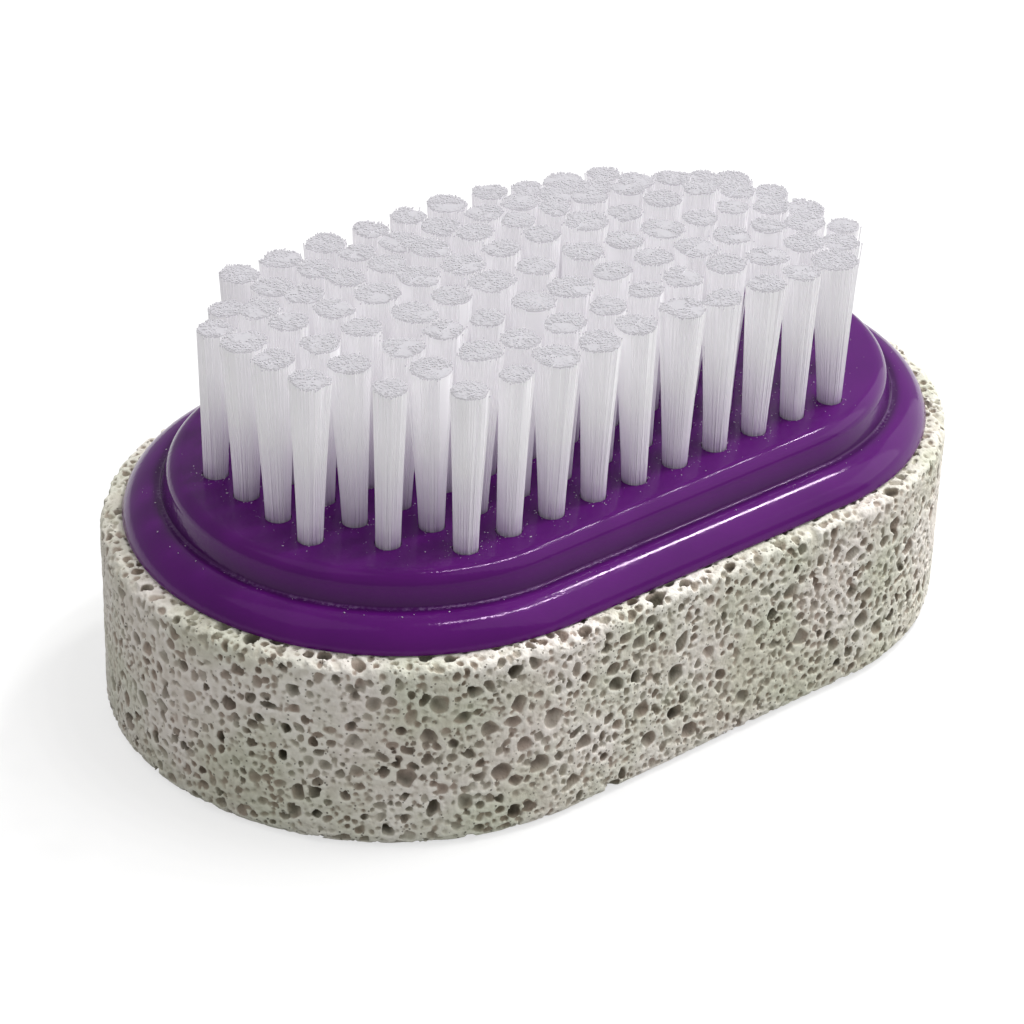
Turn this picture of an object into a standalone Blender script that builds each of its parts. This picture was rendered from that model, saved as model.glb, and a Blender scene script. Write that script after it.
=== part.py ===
"""Foot-care block: a pumice stone glued under a purple plastic back with rows of nylon tufts.

Metres, +Z up, +X along the block, origin at the middle of the stone's resting face. Every outline is a
straight-sided oval: two half circles joined by straight sides.
"""
import math
import random

import bmesh
import bpy
from mathutils import Matrix, Vector

# Fits
SEAT_GAP = 0.0003
CUT_OVERRUN = 0.001

# Pumice stone
STONE_HALF_WIDTH = 0.0290
STONE_HEIGHT = 0.0204
STONE_TOP_ROUND = 0.0012
STONE_BASE_ROUND = 0.0016
PORE_COUNT = 110
PORE_RADIUS = 0.0011
PORE_LEAST_SIZE_SHARE = 0.6
PORE_SINK_SHARE = 0.15
PORE_SPACING = 0.0029
PORE_BAND_MARGIN = 0.0030

# Glue line between the stone and the back
GLUE_THICKNESS = 0.0007
GLUE_RIM = 0.0030

# Plastic back: a flange with a rounded edge and an upper step that carries the tufts. The stone shows all
# round it, a little more at the two ends than at the sides
BACK_STRAIGHT = 0.0360
STONE_MARGIN = 0.0018
STONE_END_EXTRA = 0.0005
FLANGE_HEIGHT = 0.0026
FLANGE_ROUND = 0.0022
FLANGE_FOOT_ROUND = 0.0003
LEDGE_WIDTH = 0.0039
STEP_HEIGHT = 0.0032
STEP_DRAFT = 0.0005
STEP_ROUND = 0.0016
POCKET_RIM = 0.0009

# Tufts and the slices of the back that they stand in. The rows fill the step's top from side to side
ROW_COUNT = 8
OUTER_ROW_MARGIN = 0.00215
TUFT_PITCH = 0.0053
TUFT_EDGE_MARGIN = 0.0008
TUFT_ROOT_SHARE = 0.48
TUFT_TIP_SHARE = 0.70
TUFT_LEAN_SHARE = 0.05
TUFT_TURN = math.radians(15)
STRAND_GAP_SHARE = 0.12
TUFT_HEIGHT = 0.0172
TIP_UNEVENNESS = 0.0004
SLICE_THICKNESS = 0.0012
STRAND_ROOT_DEPTH = 0.0006

# Wear of the tufts' tips: the far side is cut down by use, and so is the right end, most where they meet
SIDE_WEAR = 0.0026
SIDE_WEAR_START = 0.0040
SIDE_WEAR_REACH = 0.0140
END_WEAR = 0.0030
RIGHT_WEAR_REACH = 0.0300
LEFT_WEAR_START = 0.0220
LEFT_WEAR_REACH = 0.0140
NEAR_WEAR_SHARE = 0.45
LAST_WEAR = 0.0030
LAST_WEAR_START = 0.0240
LAST_WEAR_REACH = 0.0110

# Flat wire anchors pressed in under each row
ANCHOR_THICKNESS = 0.0004
ANCHOR_WIDTH = 0.0022
ANCHOR_HEIGHT = 0.0019
ANCHOR_BRIDGE = 0.0005

OVAL_SEGMENTS = 64
ROUND_SEGMENTS = 4
STRAND_SIDES = 4
STRAND_CORNERS = ((-1, -1), (1, -1), (1, 1), (-1, 1))

# Levels
STONE_TOP = STONE_HEIGHT
BACK_BOTTOM = STONE_TOP + SEAT_GAP
GLUE_BOTTOM = STONE_TOP + SEAT_GAP
GLUE_RECESS_TOP = GLUE_BOTTOM + GLUE_THICKNESS + SEAT_GAP
FLANGE_TOP = BACK_BOTTOM + FLANGE_HEIGHT
BACK_TOP = FLANGE_TOP + STEP_HEIGHT
SLICE_BOTTOM = BACK_TOP - SLICE_THICKNESS
POCKET_FLOOR = SLICE_BOTTOM - SEAT_GAP
ANCHOR_BOTTOM = POCKET_FLOOR - ANCHOR_HEIGHT
CHANNEL_FLOOR = ANCHOR_BOTTOM - SEAT_GAP

# Outlines
STONE_STRAIGHT = BACK_STRAIGHT + 2 * STONE_END_EXTRA
FLANGE_HALF_WIDTH = STONE_HALF_WIDTH - STONE_MARGIN
STEP_HALF_WIDTH = FLANGE_HALF_WIDTH - LEDGE_WIDTH
POCKET_HALF_WIDTH = STEP_HALF_WIDTH - STEP_DRAFT - STEP_ROUND - POCKET_RIM
SLICE_HALF_WIDTH = POCKET_HALF_WIDTH - SEAT_GAP
TUFT_FIELD_HALF_WIDTH = SLICE_HALF_WIDTH - TUFT_EDGE_MARGIN
ROW_PITCH = 2 * (SLICE_HALF_WIDTH - OUTER_ROW_MARGIN) / (ROW_COUNT - 1)
TUFT_ROOM = min(ROW_PITCH, TUFT_PITCH)


def clear_scene():
    for old in list(bpy.data.objects):
        bpy.data.objects.remove(old, do_unlink=True)


def make_collection(name):
    collection = bpy.data.collections.new(name)
    bpy.context.scene.collection.children.link(collection)
    return collection


def make_material(name, colour, roughness, metallic=0.0):
    material = bpy.data.materials.new(name)
    material.use_nodes = True
    shader = material.node_tree.nodes["Principled BSDF"]
    shader.inputs["Base Color"].default_value = (*colour, 1.0)
    shader.inputs["Roughness"].default_value = roughness
    shader.inputs["Metallic"].default_value = metallic
    material.diffuse_color = (*colour, 1.0)
    return material


def round_ring(bm, level, radius):
    """Round the closed ring of edges that lies at one level."""
    reach = radius / (ROUND_SEGMENTS * ROUND_SEGMENTS)
    ring = [e for e in bm.edges if all(abs(v.co.z - level) < reach for v in e.verts)]
    bmesh.ops.bevel(bm, geom=ring, offset=radius, offset_type='OFFSET', segments=ROUND_SEGMENTS,
                    profile=0.5, affect='EDGES', clamp_overlap=True)


def oval_mesh(name, half_width, straight, bottom, top, draft=0.0, top_round=0.0, bottom_round=0.0):
    """A block with a straight-sided oval outline, its wall drawn in by the draft towards the top."""
    bm = bmesh.new()
    bmesh.ops.create_cone(bm, cap_ends=True, segments=OVAL_SEGMENTS, radius1=half_width,
                          radius2=half_width - draft, depth=top - bottom)
    half_step = Matrix.Rotation(math.pi / OVAL_SEGMENTS, 3, 'Z')
    for v in bm.verts:
        v.co = half_step @ v.co
        v.co += Vector((math.copysign(straight / 2, v.co.x), 0, (bottom + top) / 2))
    if bottom_round:
        round_ring(bm, bottom, bottom_round)
    if top_round:
        round_ring(bm, top, top_round)
    return finish_mesh(bm, name)


def add_box(bm, x_range, y_range, z_range):
    made = bmesh.ops.create_cube(bm, size=1.0)
    for v in made["verts"]:
        v.co = Vector([low + (high - low) * (share + 0.5)
                       for share, (low, high) in zip(v.co, (x_range, y_range, z_range))])


def finish_mesh(bm, name):
    bmesh.ops.recalc_face_normals(bm, faces=bm.faces)
    mesh = bpy.data.meshes.new(name)
    bm.to_mesh(mesh)
    bm.free()
    return mesh


def place(name, mesh, collection, material=None, cutter=False):
    piece = bpy.data.objects.new(name, mesh)
    collection.objects.link(piece)
    if material:
        mesh.materials.append(material)
    if cutter:
        piece.hide_render = True
        piece.display_type = 'WIRE'
    return piece


def combine(piece, operation, other):
    step = piece.modifiers.new(operation.lower() + "_" + other.name, 'BOOLEAN')
    step.operation = operation
    step.solver = 'EXACT'
    step.material_mode = 'TRANSFER'
    step.object = other


def smooth(piece):
    piece.data.shade_smooth()
    piece.data.set_sharp_from_angle(angle=math.radians(35))


def row_y(row):
    return (row - (ROW_COUNT - 1) / 2) * ROW_PITCH


def tufts_in(row):
    """How many tufts of one row stand inside the oval tuft field."""
    reach = BACK_STRAIGHT / 2 + math.sqrt(TUFT_FIELD_HALF_WIDTH ** 2 - row_y(row) ** 2)
    return 2 * math.floor(reach / TUFT_PITCH + 1 / 2)


def tuft_x(row, index):
    return (index - (tufts_in(row) - 1) / 2) * TUFT_PITCH


def eased(share):
    """A share held from 0 to 1 and eased at both ends."""
    held = min(max(share, 0), 1)
    return held * held * (3 - 2 * held)


def tip_wear(x, y):
    """How much lower than new the tips of the tuft at one place are."""
    side = eased((y - SIDE_WEAR_START) / SIDE_WEAR_REACH)
    right = eased(x / RIGHT_WEAR_REACH) * (NEAR_WEAR_SHARE + (1 - NEAR_WEAR_SHARE) * side)
    left = eased((-x - LEFT_WEAR_START) / LEFT_WEAR_REACH) * side
    last = eased((x - LAST_WEAR_START) / LAST_WEAR_REACH)
    return SIDE_WEAR * side + END_WEAR * (right + left) + LAST_WEAR * last


def oval_point(half_width, straight, share):
    """Point and outward direction at a share of the way round an oval."""
    arc = math.pi * half_width
    way = (share % 1.0) * 2 * (arc + straight)
    side = 1
    if way >= arc + straight:
        way -= arc + straight
        side = -1
    if way < straight:
        return Vector((side * (way - straight / 2), -side * half_width, 0)), Vector((0, -side, 0))
    turn = (way - straight) / half_width - math.pi / 2
    out = Vector((side * math.cos(turn), side * math.sin(turn), 0))
    return out * half_width + Vector((side * straight / 2, 0, 0)), out


def pore_places(rng):
    """Centres and radii of the larger pores in the stone's wall, none touching another."""
    low, high = PORE_BAND_MARGIN, STONE_HEIGHT - PORE_BAND_MARGIN
    found = []
    for attempt in range(PORE_COUNT * PORE_COUNT):
        point, out = oval_point(STONE_HALF_WIDTH, STONE_STRAIGHT, rng.random())
        radius = PORE_RADIUS * rng.uniform(PORE_LEAST_SIZE_SHARE, 1.0)
        centre = point + out * radius * PORE_SINK_SHARE
        centre.z = low + (high - low) * rng.random()
        if all((centre - other).length > PORE_SPACING for other, size in found):
            found.append((centre, radius))
        if len(found) == PORE_COUNT:
            break
    return found


def make_stone(parts, cutters, material):
    stone = place("pumice_stone", oval_mesh("pumice_stone", STONE_HALF_WIDTH, STONE_STRAIGHT, 0,
                                            STONE_TOP, top_round=STONE_TOP_ROUND,
                                            bottom_round=STONE_BASE_ROUND), parts, material)
    bm = bmesh.new()
    rng = random.Random(5)
    for centre, radius in pore_places(rng):
        made = bmesh.ops.create_icosphere(bm, subdivisions=1, radius=radius)
        bmesh.ops.rotate(bm, verts=made["verts"], matrix=Vector((1, 0, 0)).rotation_difference(
            Vector((rng.uniform(-1, 1), rng.uniform(-1, 1), 1))).to_matrix())
        bmesh.ops.translate(bm, verts=made["verts"], vec=centre)
    combine(stone, 'DIFFERENCE', place("stone_pores", finish_mesh(bm, "stone_pores"), cutters, cutter=True))
    return stone


def make_glue(parts, material):
    half_width = FLANGE_HALF_WIDTH - GLUE_RIM - SEAT_GAP
    mesh = oval_mesh("adhesive_bond", half_width, BACK_STRAIGHT, GLUE_BOTTOM, GLUE_BOTTOM + GLUE_THICKNESS)
    return place("adhesive_bond", mesh, parts, material)


def channel_reach(row):
    """Half the length of the anchor strip under a row."""
    return tuft_x(row, tufts_in(row) - 1) + ANCHOR_WIDTH / 2


def make_back(parts, cutters, material):
    flange = oval_mesh("brush_back", FLANGE_HALF_WIDTH, BACK_STRAIGHT, BACK_BOTTOM, FLANGE_TOP,
                       top_round=FLANGE_ROUND, bottom_round=FLANGE_FOOT_ROUND)
    back = place("brush_back", flange, parts, material)
    step = oval_mesh("upper_step", STEP_HALF_WIDTH, BACK_STRAIGHT, (BACK_BOTTOM + FLANGE_TOP) / 2,
                     BACK_TOP, draft=STEP_DRAFT, top_round=STEP_ROUND)
    combine(back, 'UNION', place("upper_step", step, cutters, cutter=True))
    recess = oval_mesh("glue_recess", FLANGE_HALF_WIDTH - GLUE_RIM, BACK_STRAIGHT,
                       BACK_BOTTOM - CUT_OVERRUN, GLUE_RECESS_TOP)
    combine(back, 'DIFFERENCE', place("glue_recess", recess, cutters, cutter=True))
    pocket = oval_mesh("slice_pocket", POCKET_HALF_WIDTH, BACK_STRAIGHT, POCKET_FLOOR, BACK_TOP + CUT_OVERRUN)
    combine(back, 'DIFFERENCE', place("slice_pocket", pocket, cutters, cutter=True))
    bm = bmesh.new()
    for row in range(ROW_COUNT):
        reach = channel_reach(row) + SEAT_GAP
        side = ANCHOR_THICKNESS / 2 + SEAT_GAP
        add_box(bm, (-reach, reach), (row_y(row) - side, row_y(row) + side),
                (CHANNEL_FLOOR, POCKET_FLOOR + SEAT_GAP / 2))
    channels = place("anchor_channels", finish_mesh(bm, "anchor_channels"), cutters, cutter=True)
    combine(back, 'DIFFERENCE', channels)
    smooth(back)
    return back


def row_band(row):
    """Low and high side of the slice under a row; the outer rows run out to the pocket's wall."""
    half = (ROW_PITCH - SEAT_GAP) / 2
    low, high = row_y(row) - half, row_y(row) + half
    if row == 0:
        low = -POCKET_HALF_WIDTH - CUT_OVERRUN
    if row == ROW_COUNT - 1:
        high = POCKET_HALF_WIDTH + CUT_OVERRUN
    return low, high


def add_strand(bm, foot, tip, turn):
    """One tapered strand with level ends, from its root in the slice to its cut tip."""
    side = TUFT_ROOM * (1 - STRAND_GAP_SHARE) / 2
    made = bmesh.ops.create_cone(bm, cap_ends=True, segments=STRAND_SIDES, depth=tip.z - foot.z,
                                 radius1=side * TUFT_ROOT_SHARE / math.sqrt(2),
                                 radius2=side * TUFT_TIP_SHARE / math.sqrt(2))
    square = turn @ Matrix.Rotation(math.pi / STRAND_SIDES, 3, 'Z')
    for v in made["verts"]:
        end = tip if v.co.z > 0 else foot
        v.co = end + square @ Vector((v.co.x, v.co.y, 0))


def make_tuft_row(row, parts, cutters, plastic, nylon):
    name = f"tuft_row_{row + 1}"
    slice_mesh = oval_mesh(name, SLICE_HALF_WIDTH, BACK_STRAIGHT, SLICE_BOTTOM, BACK_TOP)
    piece = place(name, slice_mesh, parts, plastic)
    bm = bmesh.new()
    reach = POCKET_HALF_WIDTH + BACK_STRAIGHT
    add_box(bm, (-reach, reach), row_band(row), (SLICE_BOTTOM - CUT_OVERRUN, BACK_TOP + CUT_OVERRUN))
    band = place(f"band_{row + 1}", finish_mesh(bm, f"band_{row + 1}"), cutters, cutter=True)
    combine(piece, 'INTERSECT', band)
    bm = bmesh.new()
    rng = random.Random(row)
    for index in range(tufts_in(row)):
        middle = Vector((tuft_x(row, index), row_y(row), 0))
        lean = Vector((rng.uniform(-1, 1), rng.uniform(-1, 1), 0)) * TUFT_ROOM * TUFT_LEAN_SHARE
        turn = Matrix.Rotation(TUFT_TURN * rng.uniform(-1, 1), 3, 'Z')
        for corner in STRAND_CORNERS:
            out = turn @ Vector((*corner, 0)) * TUFT_ROOM * (1 + STRAND_GAP_SHARE) / 4
            foot = middle + out * TUFT_ROOT_SHARE
            foot.z = BACK_TOP - STRAND_ROOT_DEPTH
            tip = middle + out * TUFT_TIP_SHARE + lean
            tip.z = BACK_TOP + TUFT_HEIGHT - tip_wear(middle.x, middle.y) - rng.random() * TIP_UNEVENNESS
            add_strand(bm, foot, tip, turn)
    strands = place(f"strands_{row + 1}", finish_mesh(bm, f"strands_{row + 1}"), cutters, nylon, cutter=True)
    combine(piece, 'UNION', strands)
    return piece


def make_anchor_row(row, parts, material):
    """The flat wire anchors of one row, standing on the strip they are cropped from."""
    reach = channel_reach(row)
    bridge = ANCHOR_BOTTOM + ANCHOR_BRIDGE
    crest = ANCHOR_BOTTOM + ANCHOR_HEIGHT
    outline = [(-reach, ANCHOR_BOTTOM)]
    for index in range(tufts_in(row)):
        left = tuft_x(row, index) - ANCHOR_WIDTH / 2
        right = tuft_x(row, index) + ANCHOR_WIDTH / 2
        if index > 0:
            outline.append((left, bridge))
        outline += [(left, crest), (right, crest)]
        if index < tufts_in(row) - 1:
            outline.append((right, bridge))
    outline.append((reach, ANCHOR_BOTTOM))
    bm = bmesh.new()
    near = row_y(row) - ANCHOR_THICKNESS / 2
    face = bm.faces.new([bm.verts.new((x, near, z)) for x, z in outline])
    pushed = bmesh.ops.extrude_face_region(bm, geom=[face])
    moved = [v for v in pushed["geom"] if isinstance(v, bmesh.types.BMVert)]
    bmesh.ops.translate(bm, verts=moved, vec=(0, ANCHOR_THICKNESS, 0))
    name = f"anchor_row_{row + 1}"
    return place(name, finish_mesh(bm, name), parts, material)


def main():
    clear_scene()
    parts = make_collection("pumice_foot_brush")
    cutters = make_collection("cutters")
    stone = make_material("pumice", (0.50, 0.46, 0.39), 0.95)
    glue = make_material("adhesive", (0.62, 0.56, 0.40), 0.45)
    plastic = make_material("purple_plastic", (0.105, 0.012, 0.190), 0.25)
    nylon = make_material("white_nylon", (0.80, 0.79, 0.82), 0.40)
    wire = make_material("anchor_wire", (0.70, 0.52, 0.24), 0.30, 1.0)
    make_stone(parts, cutters, stone)
    make_glue(parts, glue)
    make_back(parts, cutters, plastic)
    for row in range(ROW_COUNT):
        make_tuft_row(row, parts, cutters, plastic, nylon)
        make_anchor_row(row, parts, wire)


main()
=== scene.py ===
"""Foot-care block, dressed: a pumice stone under a glossy purple back with rows of white nylon tufts.

Metres, +Z up, +X along the block, origin at the middle of the stone's resting face.
"""

import logging
import math
import random
from dataclasses import dataclass, field
from enum import Enum
from typing import Iterable, Sequence

import bmesh
import bpy
import numpy as np
from mathutils import Matrix, Vector


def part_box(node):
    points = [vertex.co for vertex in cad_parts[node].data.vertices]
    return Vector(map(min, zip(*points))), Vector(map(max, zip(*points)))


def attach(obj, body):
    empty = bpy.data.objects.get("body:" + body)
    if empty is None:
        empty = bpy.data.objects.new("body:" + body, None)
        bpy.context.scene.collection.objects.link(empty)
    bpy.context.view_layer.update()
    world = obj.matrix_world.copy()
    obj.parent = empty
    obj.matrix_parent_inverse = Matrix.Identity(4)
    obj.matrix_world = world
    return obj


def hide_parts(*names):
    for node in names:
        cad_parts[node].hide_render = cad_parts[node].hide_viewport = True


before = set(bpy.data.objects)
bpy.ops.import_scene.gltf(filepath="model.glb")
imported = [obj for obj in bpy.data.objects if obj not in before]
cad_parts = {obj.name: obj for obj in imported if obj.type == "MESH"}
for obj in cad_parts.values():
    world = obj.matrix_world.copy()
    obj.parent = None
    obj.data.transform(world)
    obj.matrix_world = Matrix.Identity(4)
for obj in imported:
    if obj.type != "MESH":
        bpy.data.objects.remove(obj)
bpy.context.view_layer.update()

log = logging.getLogger("foot_block")

Colour = tuple[float, float, float]
Span = tuple[float, float]
WHITE: Colour = (1.0, 1.0, 1.0)

MM = 0.001
ROW_COUNT = 8
TUFT_PITCH = 5.3 * MM
ANCHOR_WIDTH = 2.2 * MM
# Share of a hole's depth that its tuft reaches down
HELD_SHARE = 0.9


def srgb(red: float, green: float, blue: float) -> Colour:
    """Turn a colour on the usual 0 to 255 scale into a linear one.

    Args:
        red: Red, 0 to 255.
        green: Green, 0 to 255.
        blue: Blue, 0 to 255.

    Returns:
        The three linear values.
    """
    found = []
    for value in (red, green, blue):
        share = value / 255
        found.append(share / 12.92 if share <= 0.04045 else ((share + 0.055) / 1.055) ** 2.4)
    return found[0], found[1], found[2]


class Slot(Enum):
    """Names of material slots for the pumice, the purple plastic and the white nylon."""

    PUMICE = "pumice"
    PLASTIC = "purple_plastic"
    NYLON = "white_nylon"


class Mark(Enum):
    """Names of the values that a mesh carries for its finish."""

    HOLLOW = "hollow"
    DEPTH = "depth"
    DUST_AND_SHADE = "dust_and_shade"
    ALONG = "along"
    STRAND = "strand"


# Shapes shared by the pieces


@dataclass(frozen=True)
class Oval:
    """A straight-sided oval: two half circles joined by straight sides."""

    half_width: float
    straight: float

    @classmethod
    def of_node(cls, node: str) -> "Oval":
        """Read the outline of an oval CAD node.

        Args:
            node: The node's name.

        Returns:
            Its outline.
        """
        low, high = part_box(node)
        return cls((high.y - low.y) / 2, (high.x - low.x) - (high.y - low.y))

    def inset(self, amount: float) -> "Oval":
        """The same oval drawn in all round by an amount."""
        return Oval(self.half_width - amount, self.straight)

    def distance(self, x: np.ndarray, y: np.ndarray) -> np.ndarray:
        """Distance from the outline, negative inside.

        Args:
            x: Places along the block.
            y: Places across it, of a shape that broadcasts with x.

        Returns:
            The signed distances.
        """
        past_end = np.maximum(np.abs(x) - self.straight / 2, 0)
        return np.hypot(past_end, y) - self.half_width

    def ring(self, end_steps: int, side_steps: int) -> np.ndarray:
        """Points round the outline, anticlockwise seen from above.

        Args:
            end_steps: Steps round each half circle.
            side_steps: Steps along each straight side.

        Returns:
            The points, one row each with x and y.
        """
        turn = np.linspace(-math.pi / 2, math.pi / 2, end_steps + 1)
        share = np.linspace(0, 1, side_steps + 1)[1:-1]
        end = np.stack([self.half_width * np.cos(turn) + self.straight / 2,
                        self.half_width * np.sin(turn)], axis=1)
        side = np.stack([self.straight * (0.5 - share), np.full_like(share, self.half_width)], axis=1)
        half = np.concatenate([end, side])
        return np.concatenate([half, -half])

    def at(self, share: float) -> tuple[Vector, Vector]:
        """Point and outward direction at a share of the way round.

        Args:
            share: How far round, from 0 to 1.

        Returns:
            The point and the direction.
        """
        arc = math.pi * self.half_width
        way = share * 2 * (arc + self.straight)
        side = 1
        if way >= arc + self.straight:
            way -= arc + self.straight
            side = -1
        if way < self.straight:
            edge = Vector((side * (way - self.straight / 2), -side * self.half_width, 0))
            return edge, Vector((0, -side, 0))
        turn = (way - self.straight) / self.half_width - math.pi / 2
        out = Vector((side * math.cos(turn), side * math.sin(turn), 0))
        return out * self.half_width + Vector((side * self.straight / 2, 0, 0)), out


@dataclass(frozen=True)
class Lattice:
    """Smooth seeded noise: random values on a coarse lattice, blended between its points."""

    seed: int
    spacing: float

    def on_grid(self, sizes: Sequence[int], cell: float) -> np.ndarray:
        """Read the noise on a fine grid.

        Args:
            sizes: The grid's points along each axis.
            cell: The grid's step.

        Returns:
            Values from -1 to 1, one for each point of the grid.
        """
        weights = [self._blend(count, cell) for count in sizes]
        rng = np.random.default_rng(self.seed)
        values = rng.uniform(-1, 1, [w.shape[1] for w in weights]).astype(np.float32)
        for weight in weights:
            values = np.tensordot(values, weight, axes=(0, 1))
        return values

    def _blend(self, count: int, cell: float) -> np.ndarray:
        """Weights of the lattice's points at each point of one axis."""
        place = np.arange(count) * cell / self.spacing
        index = place.astype(int)
        share = place - index
        share = share * share * (3 - 2 * share)
        weight = np.zeros((count, index[-1] + 2), np.float32)
        rows = np.arange(count)
        weight[rows, index] = 1 - share
        weight[rows, index + 1] = share
        return weight


def mesh_from_arrays(name: str, points: np.ndarray, faces: np.ndarray) -> bpy.types.Mesh:
    """Make a smooth-shaded mesh of faces that all have as many corners.

    Args:
        name: The mesh's name.
        points: Its points, one row each.
        faces: Its faces, one row of point numbers each.

    Returns:
        The mesh.
    """
    mesh = bpy.data.meshes.new(name)
    corners = faces.shape[1]
    mesh.vertices.add(len(points))
    mesh.vertices.foreach_set("co", points.astype(np.float32).ravel())
    mesh.loops.add(faces.size)
    mesh.loops.foreach_set("vertex_index", faces.astype(np.int32).ravel())
    mesh.polygons.add(len(faces))
    mesh.polygons.foreach_set("loop_start", np.arange(0, faces.size, corners, dtype=np.int32))
    mesh.update(calc_edges=True)
    mesh.shade_smooth()
    return mesh


def set_mark(mesh: bpy.types.Mesh, mark: Mark, values: np.ndarray) -> None:
    """Store one value a point on a mesh.

    Args:
        mesh: The mesh.
        mark: What the values mean.
        values: One value for each point.
    """
    stored = mesh.attributes.new(mark.value, 'FLOAT', 'POINT')
    stored.data.foreach_set("value", values.astype(np.float32))


def show(name: str, mesh: bpy.types.Mesh, material: bpy.types.Material,
         stands_for: Iterable[str] = ()) -> bpy.types.Object:
    """Put a piece in the scene, on the part's body.

    Args:
        name: The piece's name.
        mesh: Its mesh, in the part's frame.
        material: Its finish.
        stands_for: The CAD nodes that it replaces.

    Returns:
        The piece.
    """
    piece = bpy.data.objects.new(name, mesh)
    bpy.context.scene.collection.objects.link(piece)
    mesh.materials.clear()
    mesh.materials.append(material)
    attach(piece, "root")
    if stands_for:
        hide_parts(*stands_for)
    log.info("%s: %d faces", name, len(mesh.polygons))
    return piece


# Finishes


class Bench:
    """A node tree with short ways to add and join nodes."""

    def __init__(self, tree: bpy.types.NodeTree) -> None:
        """Work on a node tree."""
        self.tree = tree

    def add(self, kind: str, **settings: object) -> bpy.types.Node:
        """Add a node.

        Args:
            kind: The node's type name, without the leading ShaderNode.
            settings: Its properties by name.

        Returns:
            The node.
        """
        node = self.tree.nodes.new("ShaderNode" + kind)
        for name, value in settings.items():
            setattr(node, name, value)
        return node

    def join(self, source: bpy.types.NodeSocket, target: bpy.types.NodeSocket) -> None:
        """Join an output to an input."""
        self.tree.links.new(source, target)

    def mark(self, mark: Mark) -> bpy.types.NodeSocket:
        """The value that the mesh carries under a mark."""
        return self.add("Attribute", attribute_name=mark.value).outputs["Fac"]

    def maths(self, operation: str, first: object, second: object = 0.0,
              clamp: bool = False) -> bpy.types.NodeSocket:
        """Do a sum on values or sockets.

        Args:
            operation: The Math node's operation.
            first: A number or a socket.
            second: A number or a socket.
            clamp: Keep the result from 0 to 1.

        Returns:
            The result's socket.
        """
        node = self.add("Math", operation=operation, use_clamp=clamp)
        for socket, value in zip(node.inputs, (first, second)):
            if isinstance(value, bpy.types.NodeSocket):
                self.join(value, socket)
            else:
                socket.default_value = value
        return node.outputs["Value"]

    def span(self, value: bpy.types.NodeSocket, low: float, high: float,
             to_low: float = 0.0, to_high: float = 1.0) -> bpy.types.NodeSocket:
        """Map one range of a value on another and hold it there.

        Args:
            value: The value.
            low: Where the range starts.
            high: Where it ends.
            to_low: What its start becomes.
            to_high: What its end becomes.

        Returns:
            The mapped value.
        """
        node = self.add("MapRange", clamp=True)
        self.join(value, node.inputs["Value"])
        ends = {"From Min": low, "From Max": high, "To Min": to_low, "To Max": to_high}
        for name, number in ends.items():
            node.inputs[name].default_value = number
        return node.outputs["Result"]

    def ramp(self, value: bpy.types.NodeSocket,
             stops: Sequence[tuple[float, Colour]]) -> bpy.types.NodeSocket:
        """Turn a value into a colour.

        Args:
            value: The value, 0 to 1.
            stops: Places and colours, in order.

        Returns:
            The colour's socket.
        """
        node = self.add("ValToRGB")
        band = node.color_ramp
        while len(band.elements) < len(stops):
            band.elements.new(1.0)
        for element, (place, colour) in zip(band.elements, stops):
            element.position = place
            element.color = (*colour, 1.0)
        self.join(value, node.inputs["Fac"])
        return node.outputs["Color"]

    def blend(self, share: object, first: object, second: object,
              how: str = 'MIX') -> bpy.types.NodeSocket:
        """Blend two colours.

        Args:
            share: How much of the second, a number or a socket.
            first: A colour or a socket.
            second: A colour or a socket.
            how: The blend type.

        Returns:
            The blended colour's socket.
        """
        node = self.add("Mix", data_type='RGBA', blend_type=how)
        factor = node.inputs[0]
        for socket, value in ((factor, share), (node.inputs[6], first), (node.inputs[7], second)):
            if isinstance(value, bpy.types.NodeSocket):
                self.join(value, socket)
            elif socket == factor:
                socket.default_value = value
            else:
                socket.default_value = (*value, 1.0)
        return node.outputs[2]

    def call(self, group: bpy.types.NodeTree, **inputs: object) -> bpy.types.Node:
        """Place a shared node group.

        Args:
            group: The group.
            inputs: Its inputs, numbers or sockets, with underscores for spaces in their names.

        Returns:
            The group's node.
        """
        node = self.add("Group", node_tree=group)
        for name, value in inputs.items():
            socket = node.inputs[name.replace("_", " ")]
            if isinstance(value, bpy.types.NodeSocket):
                self.join(value, socket)
            elif isinstance(value, tuple):
                socket.default_value = (*value, 1.0)
            else:
                socket.default_value = value
        return node

    def relief(self, shader: bpy.types.Node, height: bpy.types.NodeSocket, depth: float,
               strength: float = 1.0) -> None:
        """Let a height change the shader's normal.

        Args:
            shader: The Principled BSDF.
            height: The height, 0 to 1.
            depth: How deep the whole range is, in metres.
            strength: How strongly it shows.
        """
        bump = self.add("Bump")
        bump.inputs["Strength"].default_value = strength
        bump.inputs["Distance"].default_value = depth
        self.join(height, bump.inputs["Height"])
        self.join(bump.outputs["Normal"], shader.inputs["Normal"])


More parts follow.
